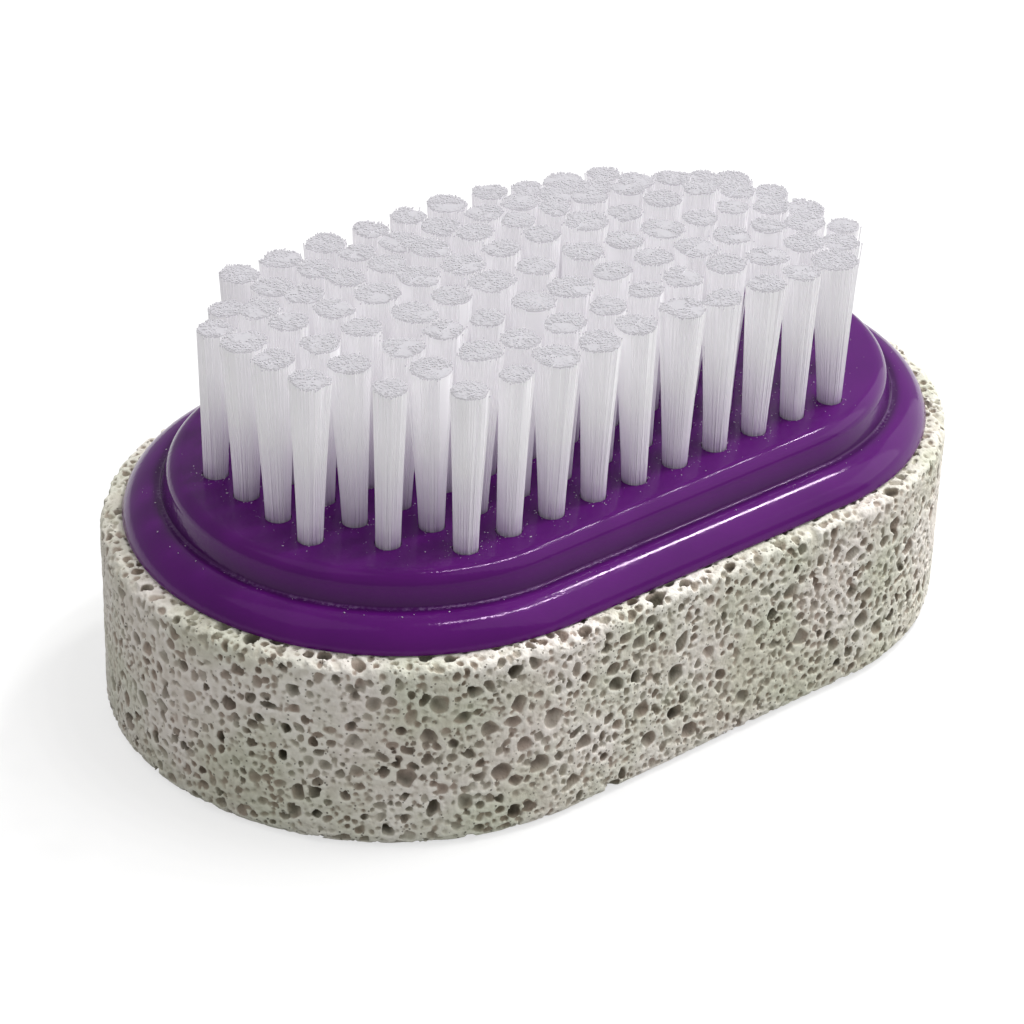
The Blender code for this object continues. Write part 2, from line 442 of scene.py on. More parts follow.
class SharedEffects:
    """Shader node groups that more than one finish uses."""

    speck_edges: Span = (0.42, 0.62)
    drift_edges: Span = (0.35, 0.60)
    drift_scale: float = 0.1
    hole_rim_share: float = 0.35

    def __init__(self) -> None:
        """Build each group once."""
        self.mottle = self._make_mottle()
        self.dusting = self._make_dusting()
        self.pinholes = self._make_pinholes()

    @staticmethod
    def _new_group(name: str, inputs: Sequence[tuple[str, str, object]],
                   outputs: Sequence[tuple[str, str]]) -> tuple[Bench, bpy.types.Node, bpy.types.Node]:
        """Start a group with its sockets.

        Args:
            name: The group's name.
            inputs: Name, socket type and default value of each input.
            outputs: Name and socket type of each output.

        Returns:
            A bench on the group, its input node and its output node.
        """
        group = bpy.data.node_groups.new(name, "ShaderNodeTree")
        for label, kind, value in inputs:
            socket = group.interface.new_socket(label, in_out='INPUT', socket_type=kind)
            socket.default_value = value
        for label, kind in outputs:
            group.interface.new_socket(label, in_out='OUTPUT', socket_type=kind)
        entry = group.nodes.new("NodeGroupInput")
        leave = group.nodes.new("NodeGroupOutput")
        return Bench(group), entry, leave

    def _make_mottle(self) -> bpy.types.NodeTree:
        """Uneven blotches that are fixed to the piece.

        Returns:
            The group: spots a metre, detail and contrast in, a mask out.
        """
        bench, entry, leave = self._new_group(
            "mottle",
            [("Spots a Metre", "NodeSocketFloat", 500.0), ("Detail", "NodeSocketFloat", 3.0),
             ("Contrast", "NodeSocketFloat", 1.0)],
            [("Mask", "NodeSocketFloat")])
        place = bench.add("TexCoord").outputs["Object"]
        noise = bench.add("TexNoise")
        bench.join(place, noise.inputs["Vector"])
        bench.join(entry.outputs["Spots a Metre"], noise.inputs["Scale"])
        bench.join(entry.outputs["Detail"], noise.inputs["Detail"])
        spread = bench.maths('MULTIPLY', bench.maths('SUBTRACT', noise.outputs["Fac"], 0.5),
                             entry.outputs["Contrast"])
        bench.join(bench.maths('ADD', spread, 0.5, clamp=True), leave.inputs["Mask"])
        return bench.tree

    def _make_dusting(self) -> bpy.types.NodeTree:
        """Pale dust that lies on a colour in broken specks.

        Returns:
            The group: a colour, the dust's colour, where it lies, its specks a metre and amount in, a new
            colour and the dust's mask out.
        """
        bench, entry, leave = self._new_group(
            "dusting",
            [("Colour", "NodeSocketColor", (0.5, 0.5, 0.5, 1.0)),
             ("Dust Colour", "NodeSocketColor", (0.6, 0.6, 0.6, 1.0)),
             ("Where", "NodeSocketFloat", 0.0), ("Specks a Metre", "NodeSocketFloat", 2500.0),
             ("Amount", "NodeSocketFloat", 0.5)],
            [("Colour", "NodeSocketColor"), ("Mask", "NodeSocketFloat")])
        place = bench.add("TexCoord").outputs["Object"]
        fine = bench.add("TexNoise")
        fine.inputs["Detail"].default_value = 4.0
        bench.join(place, fine.inputs["Vector"])
        bench.join(entry.outputs["Specks a Metre"], fine.inputs["Scale"])
        coarse = bench.add("TexNoise")
        coarse.inputs["Detail"].default_value = 2.0
        bench.join(place, coarse.inputs["Vector"])
        drifts_a_metre = bench.maths('MULTIPLY', entry.outputs["Specks a Metre"], self.drift_scale)
        bench.join(drifts_a_metre, coarse.inputs["Scale"])
        specks = bench.span(fine.outputs["Fac"], *self.speck_edges)
        drifts = bench.span(coarse.outputs["Fac"], *self.drift_edges)
        mask = bench.maths('MULTIPLY', bench.maths('MULTIPLY', specks, drifts), entry.outputs["Where"])
        mask = bench.maths('MULTIPLY', mask, entry.outputs["Amount"], clamp=True)
        mixed = bench.add("Mix", data_type='RGBA')
        bench.join(mask, mixed.inputs[0])
        bench.join(entry.outputs["Colour"], mixed.inputs[6])
        bench.join(entry.outputs["Dust Colour"], mixed.inputs[7])
        bench.join(mixed.outputs[2], leave.inputs["Colour"])
        bench.join(mask, leave.inputs["Mask"])
        return bench.tree

    def _make_pinholes(self) -> bpy.types.NodeTree:
        """Tiny round holes, too small to be cut in a mesh.

        Returns:
            The group: holes a metre, their size and the share of places that has one in, a mask out.
        """
        bench, entry, leave = self._new_group(
            "pinholes",
            [("Holes a Metre", "NodeSocketFloat", 2400.0), ("Size", "NodeSocketFloat", 0.24),
             ("Share", "NodeSocketFloat", 0.5)],
            [("Mask", "NodeSocketFloat")])
        cells = bench.add("TexVoronoi")
        bench.join(bench.add("TexCoord").outputs["Object"], cells.inputs["Vector"])
        bench.join(entry.outputs["Holes a Metre"], cells.inputs["Scale"])
        near = bench.maths('SUBTRACT', entry.outputs["Size"], cells.outputs["Distance"])
        rim = bench.maths('MULTIPLY', entry.outputs["Size"], self.hole_rim_share)
        hole = bench.maths('DIVIDE', near, rim, clamp=True)
        chosen = bench.maths('LESS_THAN', cells.outputs["Color"], entry.outputs["Share"])
        bench.join(bench.maths('MULTIPLY', hole, chosen), leave.inputs["Mask"])
        return bench.tree


@dataclass(frozen=True)
class Mottle:
    """Blotches of one size and strength, made with the shared group."""

    spots: float
    detail: float
    contrast: float

    def place(self, bench: Bench, effects: SharedEffects) -> bpy.types.NodeSocket:
        """Put the blotches in a material.

        Args:
            bench: The bench on the material's tree.
            effects: The shared node groups.

        Returns:
            Their mask.
        """
        made = bench.call(effects.mottle, Spots_a_Metre=self.spots, Detail=self.detail,
                          Contrast=self.contrast)
        return made.outputs["Mask"]


def start_material(name: str) -> tuple[Bench, bpy.types.Node, bpy.types.Material]:
    """Start a material with a Principled BSDF.

    Args:
        name: The material's name.

    Returns:
        A bench on its tree, the shader and the material.
    """
    material = bpy.data.materials.new(name)
    material.use_nodes = True
    return Bench(material.node_tree), material.node_tree.nodes["Principled BSDF"], material


@dataclass(frozen=True)
class PumiceFinish:
    """Dry grey volcanic glass foam with green, pink and brown tints; painted light on pore rims, painted
    shade in pores and pinholes.
    """

    # rim: painted light, lighter on the exposed rims of the pores
    rim: Colour = srgb(252, 247, 239)
    face: Colour = srgb(230, 224, 213)
    # floor and deep: painted shade in the pores, darker with depth; brown: stains in them
    floor: Colour = srgb(198, 192, 180)
    brown: Colour = srgb(184, 168, 156)
    deep: Colour = srgb(98, 92, 80)
    green: Colour = srgb(224, 232, 216)
    pink: Colour = srgb(226, 206, 198)
    # pinhole colour: painted shade in holes too small to mesh
    pinhole_shade: Colour = srgb(140, 134, 122)
    lit_rim_to_face: Span = (0.40, 0.51)
    wall_to_shaded_hollow: Span = (0.05, 0.22)
    hollow_shade_with_depth: Span = (0.30, 0.95)
    holes_a_metre: float = 2000.0
    hole_size: float = 0.26
    hole_share: float = 0.4
    hole_strength: float = 0.85
    brown_spots: Mottle = Mottle(420.0, 1.0, 4.0)
    green_spots: Mottle = Mottle(95.0, 2.0, 4.0)
    green_most: float = 0.75
    pink_spots: Mottle = Mottle(130.0, 2.0, 4.5)
    pink_most: float = 0.16
    grain: Mottle = Mottle(3200.0, 5.0, 2.0)
    grain_depth: float = 0.12 * MM
    grain_strength: float = 0.8
    roughness: float = 0.95
    shine: float = 0.2

    def make(self, effects: SharedEffects) -> bpy.types.Material:
        """Build the material.

        Args:
            effects: The shared node groups.

        Returns:
            The material.
        """
        bench, shader, material = start_material("pumice_cut_face")
        depth = bench.mark(Mark.DEPTH)
        # painted light: lighter where less stone stands round, on the pores' rims
        wall = bench.ramp(bench.mark(Mark.HOLLOW), list(zip(self.lit_rim_to_face, (self.rim, self.face))))
        holes = bench.call(effects.pinholes, Holes_a_Metre=self.holes_a_metre, Size=self.hole_size,
                           Share=self.hole_share).outputs["Mask"]
        # painted shade in the pinholes
        wall = bench.blend(bench.maths('MULTIPLY', holes, self.hole_strength), wall, self.pinhole_shade)
        # the pores: brown stains, and painted shade that darkens with depth
        hollow = bench.blend(self.brown_spots.place(bench, effects), self.floor, self.brown)
        hollow = bench.blend(bench.span(depth, *self.hollow_shade_with_depth), hollow, self.deep)
        base = bench.blend(bench.span(depth, *self.wall_to_shaded_hollow), wall, hollow)
        greenish = bench.maths('MULTIPLY', self.green_spots.place(bench, effects), self.green_most)
        base = bench.blend(greenish, base, self.green, how='MULTIPLY')
        pinkish = bench.maths('MULTIPLY', self.pink_spots.place(bench, effects), self.pink_most)
        base = bench.blend(pinkish, base, self.pink)
        bench.join(base, shader.inputs["Base Color"])
        height = bench.maths('SUBTRACT', self.grain.place(bench, effects), holes)
        bench.relief(shader, height, self.grain_depth, self.grain_strength)
        shader.inputs["Roughness"].default_value = self.roughness
        shader.inputs["Specular IOR Level"].default_value = self.shine
        return material


@dataclass(frozen=True)
class PlasticFinish:
    """Glossy purple moulded plastic with a slight orange peel, dust in its crease and painted shade along
    it.
    """

    colour: Colour = srgb(89, 19, 108)
    cloud: Colour = srgb(81, 16, 100)
    # crease_shade: painted shade, laid on darker towards the bottom of the crease
    crease_shade: Colour = srgb(50, 12, 63)
    dust: Colour = srgb(116, 92, 130)
    roughness: float = 0.10
    dusty_roughness: float = 0.55
    shine: float = 0.24
    shine_tint: Colour = (0.95, 0.66, 1.0)
    cloud_spots: Mottle = Mottle(160.0, 2.0, 2.0)
    crease_shade_reach: Span = (0.02, 0.75)
    crease_shade_most: float = 0.7
    dust_reach: Span = (0.72, 0.97)
    dust_specks: float = 2400.0
    dust_amount: float = 0.5
    wear: Mottle = Mottle(700.0, 4.0, 1.5)
    wear_range: Span = (0.2, 0.8)
    worn_smooth: float = 0.04
    worn_dull: float = 0.06
    peel: Mottle = Mottle(2300.0, 1.0, 1.0)
    peel_depth: float = 0.03 * MM
    peel_strength: float = 0.6
    peel_from_to: Span = (-26 * MM, 8 * MM)
    peel_shares: Span = (0.8, 0.10)

    def make(self, effects: SharedEffects) -> bpy.types.Material:
        """Build the material.

        Args:
            effects: The shared node groups.

        Returns:
            The material.
        """
        bench, shader, material = start_material("purple_gloss_plastic")
        base = bench.blend(self.cloud_spots.place(bench, effects), self.colour, self.cloud)
        crease = bench.mark(Mark.DUST_AND_SHADE)
        # painted shade: the colour darkens towards the bottom of the crease, and the dust lies on top of it
        base = bench.blend(bench.span(crease, *self.crease_shade_reach, 0.0, self.crease_shade_most), base, self.crease_shade)
        dusted = bench.call(effects.dusting, Colour=base, Dust_Colour=self.dust,
                            Where=bench.span(crease, *self.dust_reach), Specks_a_Metre=self.dust_specks,
                            Amount=self.dust_amount)
        bench.join(dusted.outputs["Colour"], shader.inputs["Base Color"])
        polish = bench.span(self.wear.place(bench, effects), *self.wear_range,
                            self.roughness - self.worn_smooth, self.roughness + self.worn_dull)
        rough = bench.span(dusted.outputs["Mask"], 0.0, 1.0, 0.0, self.dusty_roughness)
        bench.join(bench.maths('ADD', polish, rough, clamp=True), shader.inputs["Roughness"])
        place = bench.add("SeparateXYZ")
        bench.join(bench.add("TexCoord").outputs["Object"], place.inputs["Vector"])
        unpolished = bench.span(place.outputs["X"], *self.peel_from_to, *self.peel_shares)
        height = bench.maths('MULTIPLY', self.peel.place(bench, effects), unpolished)
        bench.relief(shader, height, self.peel_depth, self.peel_strength)
        shader.inputs["Specular IOR Level"].default_value = self.shine
        shader.inputs["Specular Tint"].default_value = (*self.shine_tint, 1.0)
        return material


@dataclass(frozen=True)
class NylonFinish:
    """Milky white nylon filament with a painted glow for light passing through, painted shade and purple
    reflection near its root, and shaded tips.
    """

    body: Colour = srgb(246, 245, 246)
    # low, root and foot: painted shade with a purple painted reflection of the back, darkest at the foot
    low: Colour = srgb(230, 219, 237)
    root: Colour = srgb(200, 180, 212)
    foot: Colour = srgb(150, 130, 163)
    # shaded_cut_end: painted shade, darker on the upward cut tips that get the most light
    shaded_cut_end: Colour = srgb(180, 178, 183)
    dull: Colour = srgb(239, 238, 241)
    # glows: painted light standing in for light that passes through the nylon
    body_glow: Colour = (0.135, 0.132, 0.137)
    low_glow: Colour = (0.06, 0.055, 0.063)
    root_glow: Colour = (0.0, 0.0, 0.0)
    root_shade_heights: tuple[float, ...] = (0.055, 0.085, 0.18, 0.55)
    glow_heights: tuple[float, ...] = (0.05, 0.35, 0.75)
    cut_heights: Span = (0.988, 1.0)
    strand_most: float = 0.5
    haze: Mottle = Mottle(900.0, 2.0, 2.0)
    haze_most: float = 0.25
    roughness: float = 0.45

    def make(self, effects: SharedEffects) -> bpy.types.Material:
        """Build the material.

        Args:
            effects: The shared node groups.

        Returns:
            The material.
        """
        bench, shader, material = start_material("white_nylon_filament")
        along = bench.mark(Mark.ALONG)
        # painted shade and purple painted reflection towards the root
        root_shade_colours = self.foot, self.root, self.low, self.body
        base = bench.ramp(along, list(zip(self.root_shade_heights, root_shade_colours)))
        duller = bench.maths('MULTIPLY', bench.mark(Mark.STRAND), self.strand_most)
        base = bench.blend(duller, base, self.dull)
        hazy = bench.maths('MULTIPLY', self.haze.place(bench, effects), self.haze_most)
        base = bench.blend(hazy, base, self.dull)
        # painted shade on the cut tips
        base = bench.blend(bench.span(along, *self.cut_heights), base, self.shaded_cut_end)
        bench.join(base, shader.inputs["Base Color"])
        # painted glow for the light that passes through the nylon
        glows = self.root_glow, self.low_glow, self.body_glow
        bench.join(bench.ramp(along, list(zip(self.glow_heights, glows))), shader.inputs["Emission Color"])
        shader.inputs["Emission Strength"].default_value = 1.0
        shader.inputs["Roughness"].default_value = self.roughness
        return material


@dataclass(frozen=True)
class AdhesiveFinish:
    """Set glue, amber and slightly clouded."""

    colour: Colour = srgb(206, 192, 150)
    cloud: Colour = srgb(180, 164, 120)
    clouds: Mottle = Mottle(420.0, 3.0, 2.5)
    relief: float = 0.1 * MM
    roughness: float = 0.4

    def make(self, effects: SharedEffects) -> bpy.types.Material:
        """Build the material.

        Args:
            effects: The shared node groups.

        Returns:
            The material.
        """
        bench, shader, material = start_material("set_adhesive")
        cloudy = self.clouds.place(bench, effects)
        bench.join(bench.blend(cloudy, self.colour, self.cloud), shader.inputs["Base Color"])
        bench.relief(shader, cloudy, self.relief)
        shader.inputs["Roughness"].default_value = self.roughness
        return material


@dataclass(frozen=True)
class WireFinish:
    """Drawn brass anchor wire with a fine grain and a little tarnish."""

    colour: Colour = srgb(214, 182, 116)
    tarnish: Colour = srgb(150, 118, 66)
    spots: Mottle = Mottle(600.0, 3.0, 2.5)
    grain: Mottle = Mottle(9000.0, 2.0, 2.0)
    grain_depth: float = 0.02 * MM
    roughness: float = 0.3

    def make(self, effects: SharedEffects) -> bpy.types.Material:
        """Build the material.

        Args:
            effects: The shared node groups.

        Returns:
            The material.
        """
        bench, shader, material = start_material("drawn_brass_wire")
        tarnished = self.spots.place(bench, effects)
        bench.join(bench.blend(tarnished, self.colour, self.tarnish), shader.inputs["Base Color"])
        bench.relief(shader, self.grain.place(bench, effects), self.grain_depth)
        shader.inputs["Roughness"].default_value = self.roughness
        shader.inputs["Metallic"].default_value = 1.0
        return material


@dataclass(frozen=True)
class FleckFinish:
    """Dry white flecks of ground stone and nylon."""

    colour: Colour = srgb(226, 221, 226)
    dull: Colour = srgb(186, 180, 186)
    spots: Mottle = Mottle(2600.0, 2.0, 3.0)
    roughness: float = 0.7

    def make(self, effects: SharedEffects) -> bpy.types.Material:
        """Build the material.

        Args:
            effects: The shared node groups.

        Returns:
            The material.
        """
        bench, shader, material = start_material("dry_flecks")
        dulled = self.spots.place(bench, effects)
        bench.join(bench.blend(dulled, self.colour, self.dull), shader.inputs["Base Color"])
        shader.inputs["Roughness"].default_value = self.roughness
        return material


class Finishes:
    """The finish of every piece, each built once."""

    def __init__(self) -> None:
        """Build the shared groups and then each material."""
        effects = SharedEffects()
        self.pumice = PumiceFinish().make(effects)
        self.plastic = PlasticFinish().make(effects)
        self.nylon = NylonFinish().make(effects)
        self.adhesive = AdhesiveFinish().make(effects)
        self.wire = WireFinish().make(effects)
        self.flecks = FleckFinish().make(effects)


# Pumice stone


@dataclass(frozen=True)
class PoreFamily:
    """Bubbles of one range of sizes, cut open by the stone's faces."""

    count: int
    smallest: float
    largest: float
    room: float
    stretch: float


@dataclass(frozen=True)
class MainPores:
    """The larger pores of the stone's wall, at the places where the solid has them too."""

    count: int = 110
    radius: float = 1.1 * MM
    least_size_share: float = 0.6
    sink_share: float = 0.15
    spacing: float = 2.9 * MM
    band_margin: float = 3.0 * MM
    outline: Oval = Oval(29.0 * MM, 37.0 * MM)
    height: float = 20.4 * MM
    seed: int = 5

    def places(self) -> tuple[np.ndarray, np.ndarray]:
        """Work out where they are.

        Returns:
            The centres, one row each, and the radii.
        """
        rng = random.Random(self.seed)
        low, high = self.band_margin, self.height - self.band_margin
        centres: list[Vector] = []
        radii: list[float] = []
        for _ in range(self.count * self.count):
            point, out = self.outline.at(rng.random())
            radius = self.radius * rng.uniform(self.least_size_share, 1.0)
            centre = point + out * radius * self.sink_share
            centre.z = low + (high - low) * rng.random()
            if all((centre - other).length > self.spacing for other in centres):
                centres.append(centre)
                radii.append(radius)
            if len(centres) == self.count:
                break
        return np.array(centres), np.array(radii)


@dataclass
class PumiceStone:
    """The stone block: a rounded oval foam cut open on every face, meshed from a field of distances."""

    node: str = "pumice_stone"
    cell: float = 0.18 * MM
    margin_cells: int = 3
    top_round: float = 0.9 * MM
    base_round: float = 1.3 * MM
    swell: float = 0.10 * MM
    swell_spacing: float = 6.0 * MM
    crumble: float = 0.10 * MM
    crumble_spacing: float = 0.7 * MM
    crumble_least: float = -0.1
    edge_crumble: float = 0.80 * MM
    edge_crumble_spacing: float = 1.2 * MM
    edge_crumble_share: float = 0.5
    edge_reach: float = 1.1 * MM
    wobble: float = 0.055 * MM
    wobble_spacing: float = 0.45 * MM
    seat_overlap: float = 2.0 * MM
    facets: int = 8
    facet_share: float = 0.82
    cap_share: float = 1.14
    least_cut: float = 0.45
    most_cut: float = 0.85
    smallness: float = 1.7
    draws: int = 24000
    most_rounds: int = 300
    block_values: int = 3000000
    shade_reach: int = 3
    seed: int = 11
    main_pores: MainPores = MainPores()
    families: tuple[PoreFamily, ...] = (
        PoreFamily(430, 0.55 * MM, 0.85 * MM, 1.05, 1.7),
        PoreFamily(3300, 0.33 * MM, 0.55 * MM, 0.92, 1.8),
        PoreFamily(6400, 0.20 * MM, 0.33 * MM, 0.85, 1.8),
        PoreFamily(6000, 0.13 * MM, 0.20 * MM, 0.85, 1.4),
    )
    outline: Oval = field(init=False)
    height: float = field(init=False)
    seat: Oval = field(init=False)
    origin: np.ndarray = field(init=False)
    sizes: np.ndarray = field(init=False)

    def __post_init__(self) -> None:
        """Take the sizes from the CAD nodes, and lay the grid of distances round the stone."""
        self.outline = Oval.of_node(self.node)
        self.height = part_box(self.node)[1].z
        self.seat = Oval.of_node("brush_back").inset(self.seat_overlap)
        margin = self.margin_cells * self.cell
        half_length = self.outline.straight / 2 + self.outline.half_width
        self.origin = np.array([-half_length - margin, -self.outline.half_width - margin, -margin])
        far = -self.origin
        far[2] = self.height + margin
        self.sizes = np.ceil((far - self.origin) / self.cell).astype(int) + 1

    def build(self, finishes: Finishes) -> bpy.types.Object:
        """Mesh the stone and dress it.

        Args:
            finishes: The materials.

        Returns:
            The piece.
        """
        solid = self.whole_block()
        skin = solid.copy()
        np.maximum(solid, -self.open_pores(), out=solid)
        points, faces = surface_net(solid)
        points, faces = largest_part(points, faces)
        mesh = mesh_from_arrays("pumice_block", self.origin + points * self.cell, faces)
        # marks from which the finish paints shade in the pores and light on their rims
        set_mark(mesh, Mark.DEPTH, -read_field(skin, points) / MM)
        set_mark(mesh, Mark.HOLLOW, read_field(self.enclosure(solid), points))
        return show("pumice_block", mesh, finishes.pumice, [self.node])

    def axes(self) -> tuple[np.ndarray, np.ndarray, np.ndarray]:
        """The grid's places along each axis, shaped to broadcast."""
        x, y, z = ((start + self.cell * np.arange(count)).astype(np.float32)
                   for start, count in zip(self.origin, self.sizes))
        return x[:, None, None], y[None, :, None], z[None, None, :]

    def block_distance(self, x: np.ndarray, y: np.ndarray, z: np.ndarray) -> np.ndarray:
        """Distance from the whole block's faces, negative inside.

        Args:
            x: Places along the block.
            y: Places across it.
            z: Heights.

        Returns:
            The signed distances.
        """
        side = self.outline.distance(x, y)
        level = np.abs(z - self.height / 2) - self.height / 2
        rounding = np.where(z > self.height / 2, np.float32(self.top_round), np.float32(self.base_round))
        side, level = side + rounding, level + rounding
        outside = np.hypot(np.maximum(side, 0), np.maximum(level, 0))
        return np.minimum(np.maximum(side, level), 0) + outside - rounding

    def whole_block(self) -> np.ndarray:
        """The block before its pores are cut, its faces drawn in unevenly and its top edge chipped."""
        x, y, z = self.axes()
        solid = self.block_distance(x, y, z).astype(np.float32)
        waves = Lattice(self.seed, self.swell_spacing).on_grid(self.sizes, self.cell)
        solid += self.swell / 2 * (1 + waves)
        rough = Lattice(self.seed + 1, self.crumble_spacing).on_grid(self.sizes, self.cell)
        solid += self.crumble * np.maximum(rough, self.crumble_least)
        from_edge = self.outline.distance(x, y) ** 2 + (z - self.height) ** 2
        near_edge = np.exp(-from_edge / self.edge_reach ** 2)
        chips = Lattice(self.seed + 7, self.edge_crumble_spacing).on_grid(self.sizes, self.cell)
        chipped = np.maximum(chips + self.edge_crumble_share * rough, 0)
        solid += self.edge_crumble * near_edge.astype(np.float32) * chipped
        return solid

    def open_pores(self) -> np.ndarray:
        """Distances from every bubble that the faces cut open, negative inside one."""
        rng = np.random.default_rng(self.seed + 3)
        pores = np.full(self.sizes, self.main_pores.radius, np.float32)
        centres, radii = self.main_pores.places()
        whole = PoreFamily(len(radii), radii.min(), radii.max(), 0.0, 1.0)
        self.cut(pores, centres, radii, whole, len(radii), rng)
        for family in self.families:
            found = 0
            for _ in range(self.most_rounds):
                centres, radii = self.places(family, rng)
                found += self.cut(pores, centres, radii, family, family.count - found, rng)
                if found == family.count:
                    break
            log.info("pores of up to %.2f mm: %d", 2 * family.largest / MM, found)
        pores += self.wobble * Lattice(self.seed + 2, self.wobble_spacing).on_grid(self.sizes, self.cell)
        return pores

    def places(self, family: PoreFamily, rng: np.random.Generator) -> tuple[np.ndarray, np.ndarray]:
        """Draw centres and radii of bubbles that a face of the stone would cut open.

        Args:
            family: Their sizes.
            rng: The source of chance.

        Returns:
            The centres, one row each, and the radii.
        """
        centres = rng.uniform(self.origin, self.origin + self.cell * (self.sizes - 1), (self.draws, 3))
        share = rng.random(self.draws) ** self.smallness
        radii = family.smallest + (family.largest - family.smallest) * share
        x, y, z = centres.T
        deep = -self.block_distance(x, y, z)
        kept = (deep > -self.least_cut * radii) & (deep < self.most_cut * radii)
        kept &= (self.seat.distance(x, y) > 0) | (z < self.height / 2)
        return centres[kept], radii[kept]

    def cut(self, pores: np.ndarray, centres: np.ndarray, radii: np.ndarray, family: PoreFamily, most: int,
            rng: np.random.Generator) -> int:
        """Add bubbles to the field where there is room for them.

        Args:
            pores: The field of distances from the bubbles, which is changed.
            centres: Their centres.
            radii: Their radii.
            family: Their family.
            most: The most that may be added.
            rng: The source of chance.

        Returns:
            How many were added.
        """
        reach = math.ceil(family.largest * family.stretch * self.cap_share / self.cell) + 1
        batch = max(1, self.block_values // ((2 * reach + 1) ** 3 * self.facets))
        nearest = np.clip(np.rint((centres - self.origin) / self.cell).astype(int), 0, self.sizes - 1)
        added = 0
        for start in range(0, len(radii), batch):
            part = np.arange(start, min(start + batch, len(radii)))
            part = part[pores[tuple(nearest[part].T)] >= radii[part] * family.room]
            shifts = nearest[part] * self.cell + self.origin - centres[part]
            blocks = self.bubbles(radii[part], shifts, reach, family.stretch, rng)
            for (i, j, k), radius, block in zip(nearest[part].tolist(), radii[part].tolist(), blocks):
                if added < most and pores[i, j, k] >= radius * family.room:
                    a, b, c = max(i - reach, 0), max(j - reach, 0), max(k - reach, 0)
                    view = pores[a:i + reach + 1, b:j + reach + 1, c:k + reach + 1]
                    d, e, f = a - i + reach, b - j + reach, c - k + reach
                    inner = block[d:d + view.shape[0], e:e + view.shape[1], f:f + view.shape[2]]
                    np.minimum(view, inner, out=view)
                    added += 1
            if added == most:
                break
        return added

    def bubbles(self, radii: np.ndarray, shifts: np.ndarray, reach: int, stretch: float,
                rng: np.random.Generator) -> np.ndarray:
        """Distances from faceted bubbles, on the grid points round each centre.

        Args:
            radii: Their radii.
            shifts: From each centre to its nearest grid point.
            reach: How many grid points each way.
            stretch: How much longer than wide they may be.
            rng: The source of chance.

        Returns:
            One block of distances for each bubble.
        """
        steps = (self.cell * np.arange(-reach, reach + 1)).astype(np.float32)
        grid = np.stack(np.meshgrid(steps, steps, steps, indexing="ij"), axis=-1).reshape(-1, 3)
        spots = grid[None] + shifts[:, None].astype(np.float32)
        size = radii[:, None].astype(np.float32)
        long = directions(rng, len(radii), 1)
        squeeze = 1 - 1 / rng.uniform(1.0, stretch, (len(radii), 1, 1)).astype(np.float32)
        spots = spots - (spots @ long.transpose(0, 2, 1)) * squeeze * long
        flat = (spots @ directions(rng, len(radii), self.facets).transpose(0, 2, 1)).max(axis=-1)
        ball = np.sqrt((spots * spots).sum(axis=-1))
        distance = np.maximum(flat - self.facet_share * size, ball - self.cap_share * size)
        return distance.reshape(-1, 2 * reach + 1, 2 * reach + 1, 2 * reach + 1)

    def enclosure(self, solid: np.ndarray) -> np.ndarray:
        """How much stone stands round each place: a half at a flat face, more in a hollow.

        Args:
            solid: The field of distances.

        Returns:
            The share of stone near each point of the grid.
        """
        share = (solid < 0).astype(np.float32)
        width = 2 * self.shade_reach + 1
        for axis in range(3):
            padding = [(0, 0)] * 3
            padding[axis] = (self.shade_reach + 1, self.shade_reach)
            total = np.cumsum(np.pad(share, padding, mode="edge"), axis=axis, dtype=np.float32)
            count = share.shape[axis]
            ahead = np.take(total, np.arange(width, width + count), axis=axis)
            behind = np.take(total, np.arange(count), axis=axis)
            share = (ahead - behind) / width
        return share


def directions(rng: np.random.Generator, groups: int, count: int) -> np.ndarray:
    """Random directions.

    Args:
        rng: The source of chance.
        groups: How many groups.
        count: How many directions in each.

    Returns:
        The unit vectors: group, direction, coordinate.
    """
    found = rng.normal(size=(groups, count, 3))
    return (found / np.linalg.norm(found, axis=-1, keepdims=True)).astype(np.float32)


CUBE_CORNERS = tuple((i, j, k) for i in (0, 1) for j in (0, 1) for k in (0, 1))
CUBE_EDGES = tuple((a, b) for a in CUBE_CORNERS for b in CUBE_CORNERS
                   if a < b and sum(abs(p - q) for p, q in zip(a, b)) == 1)


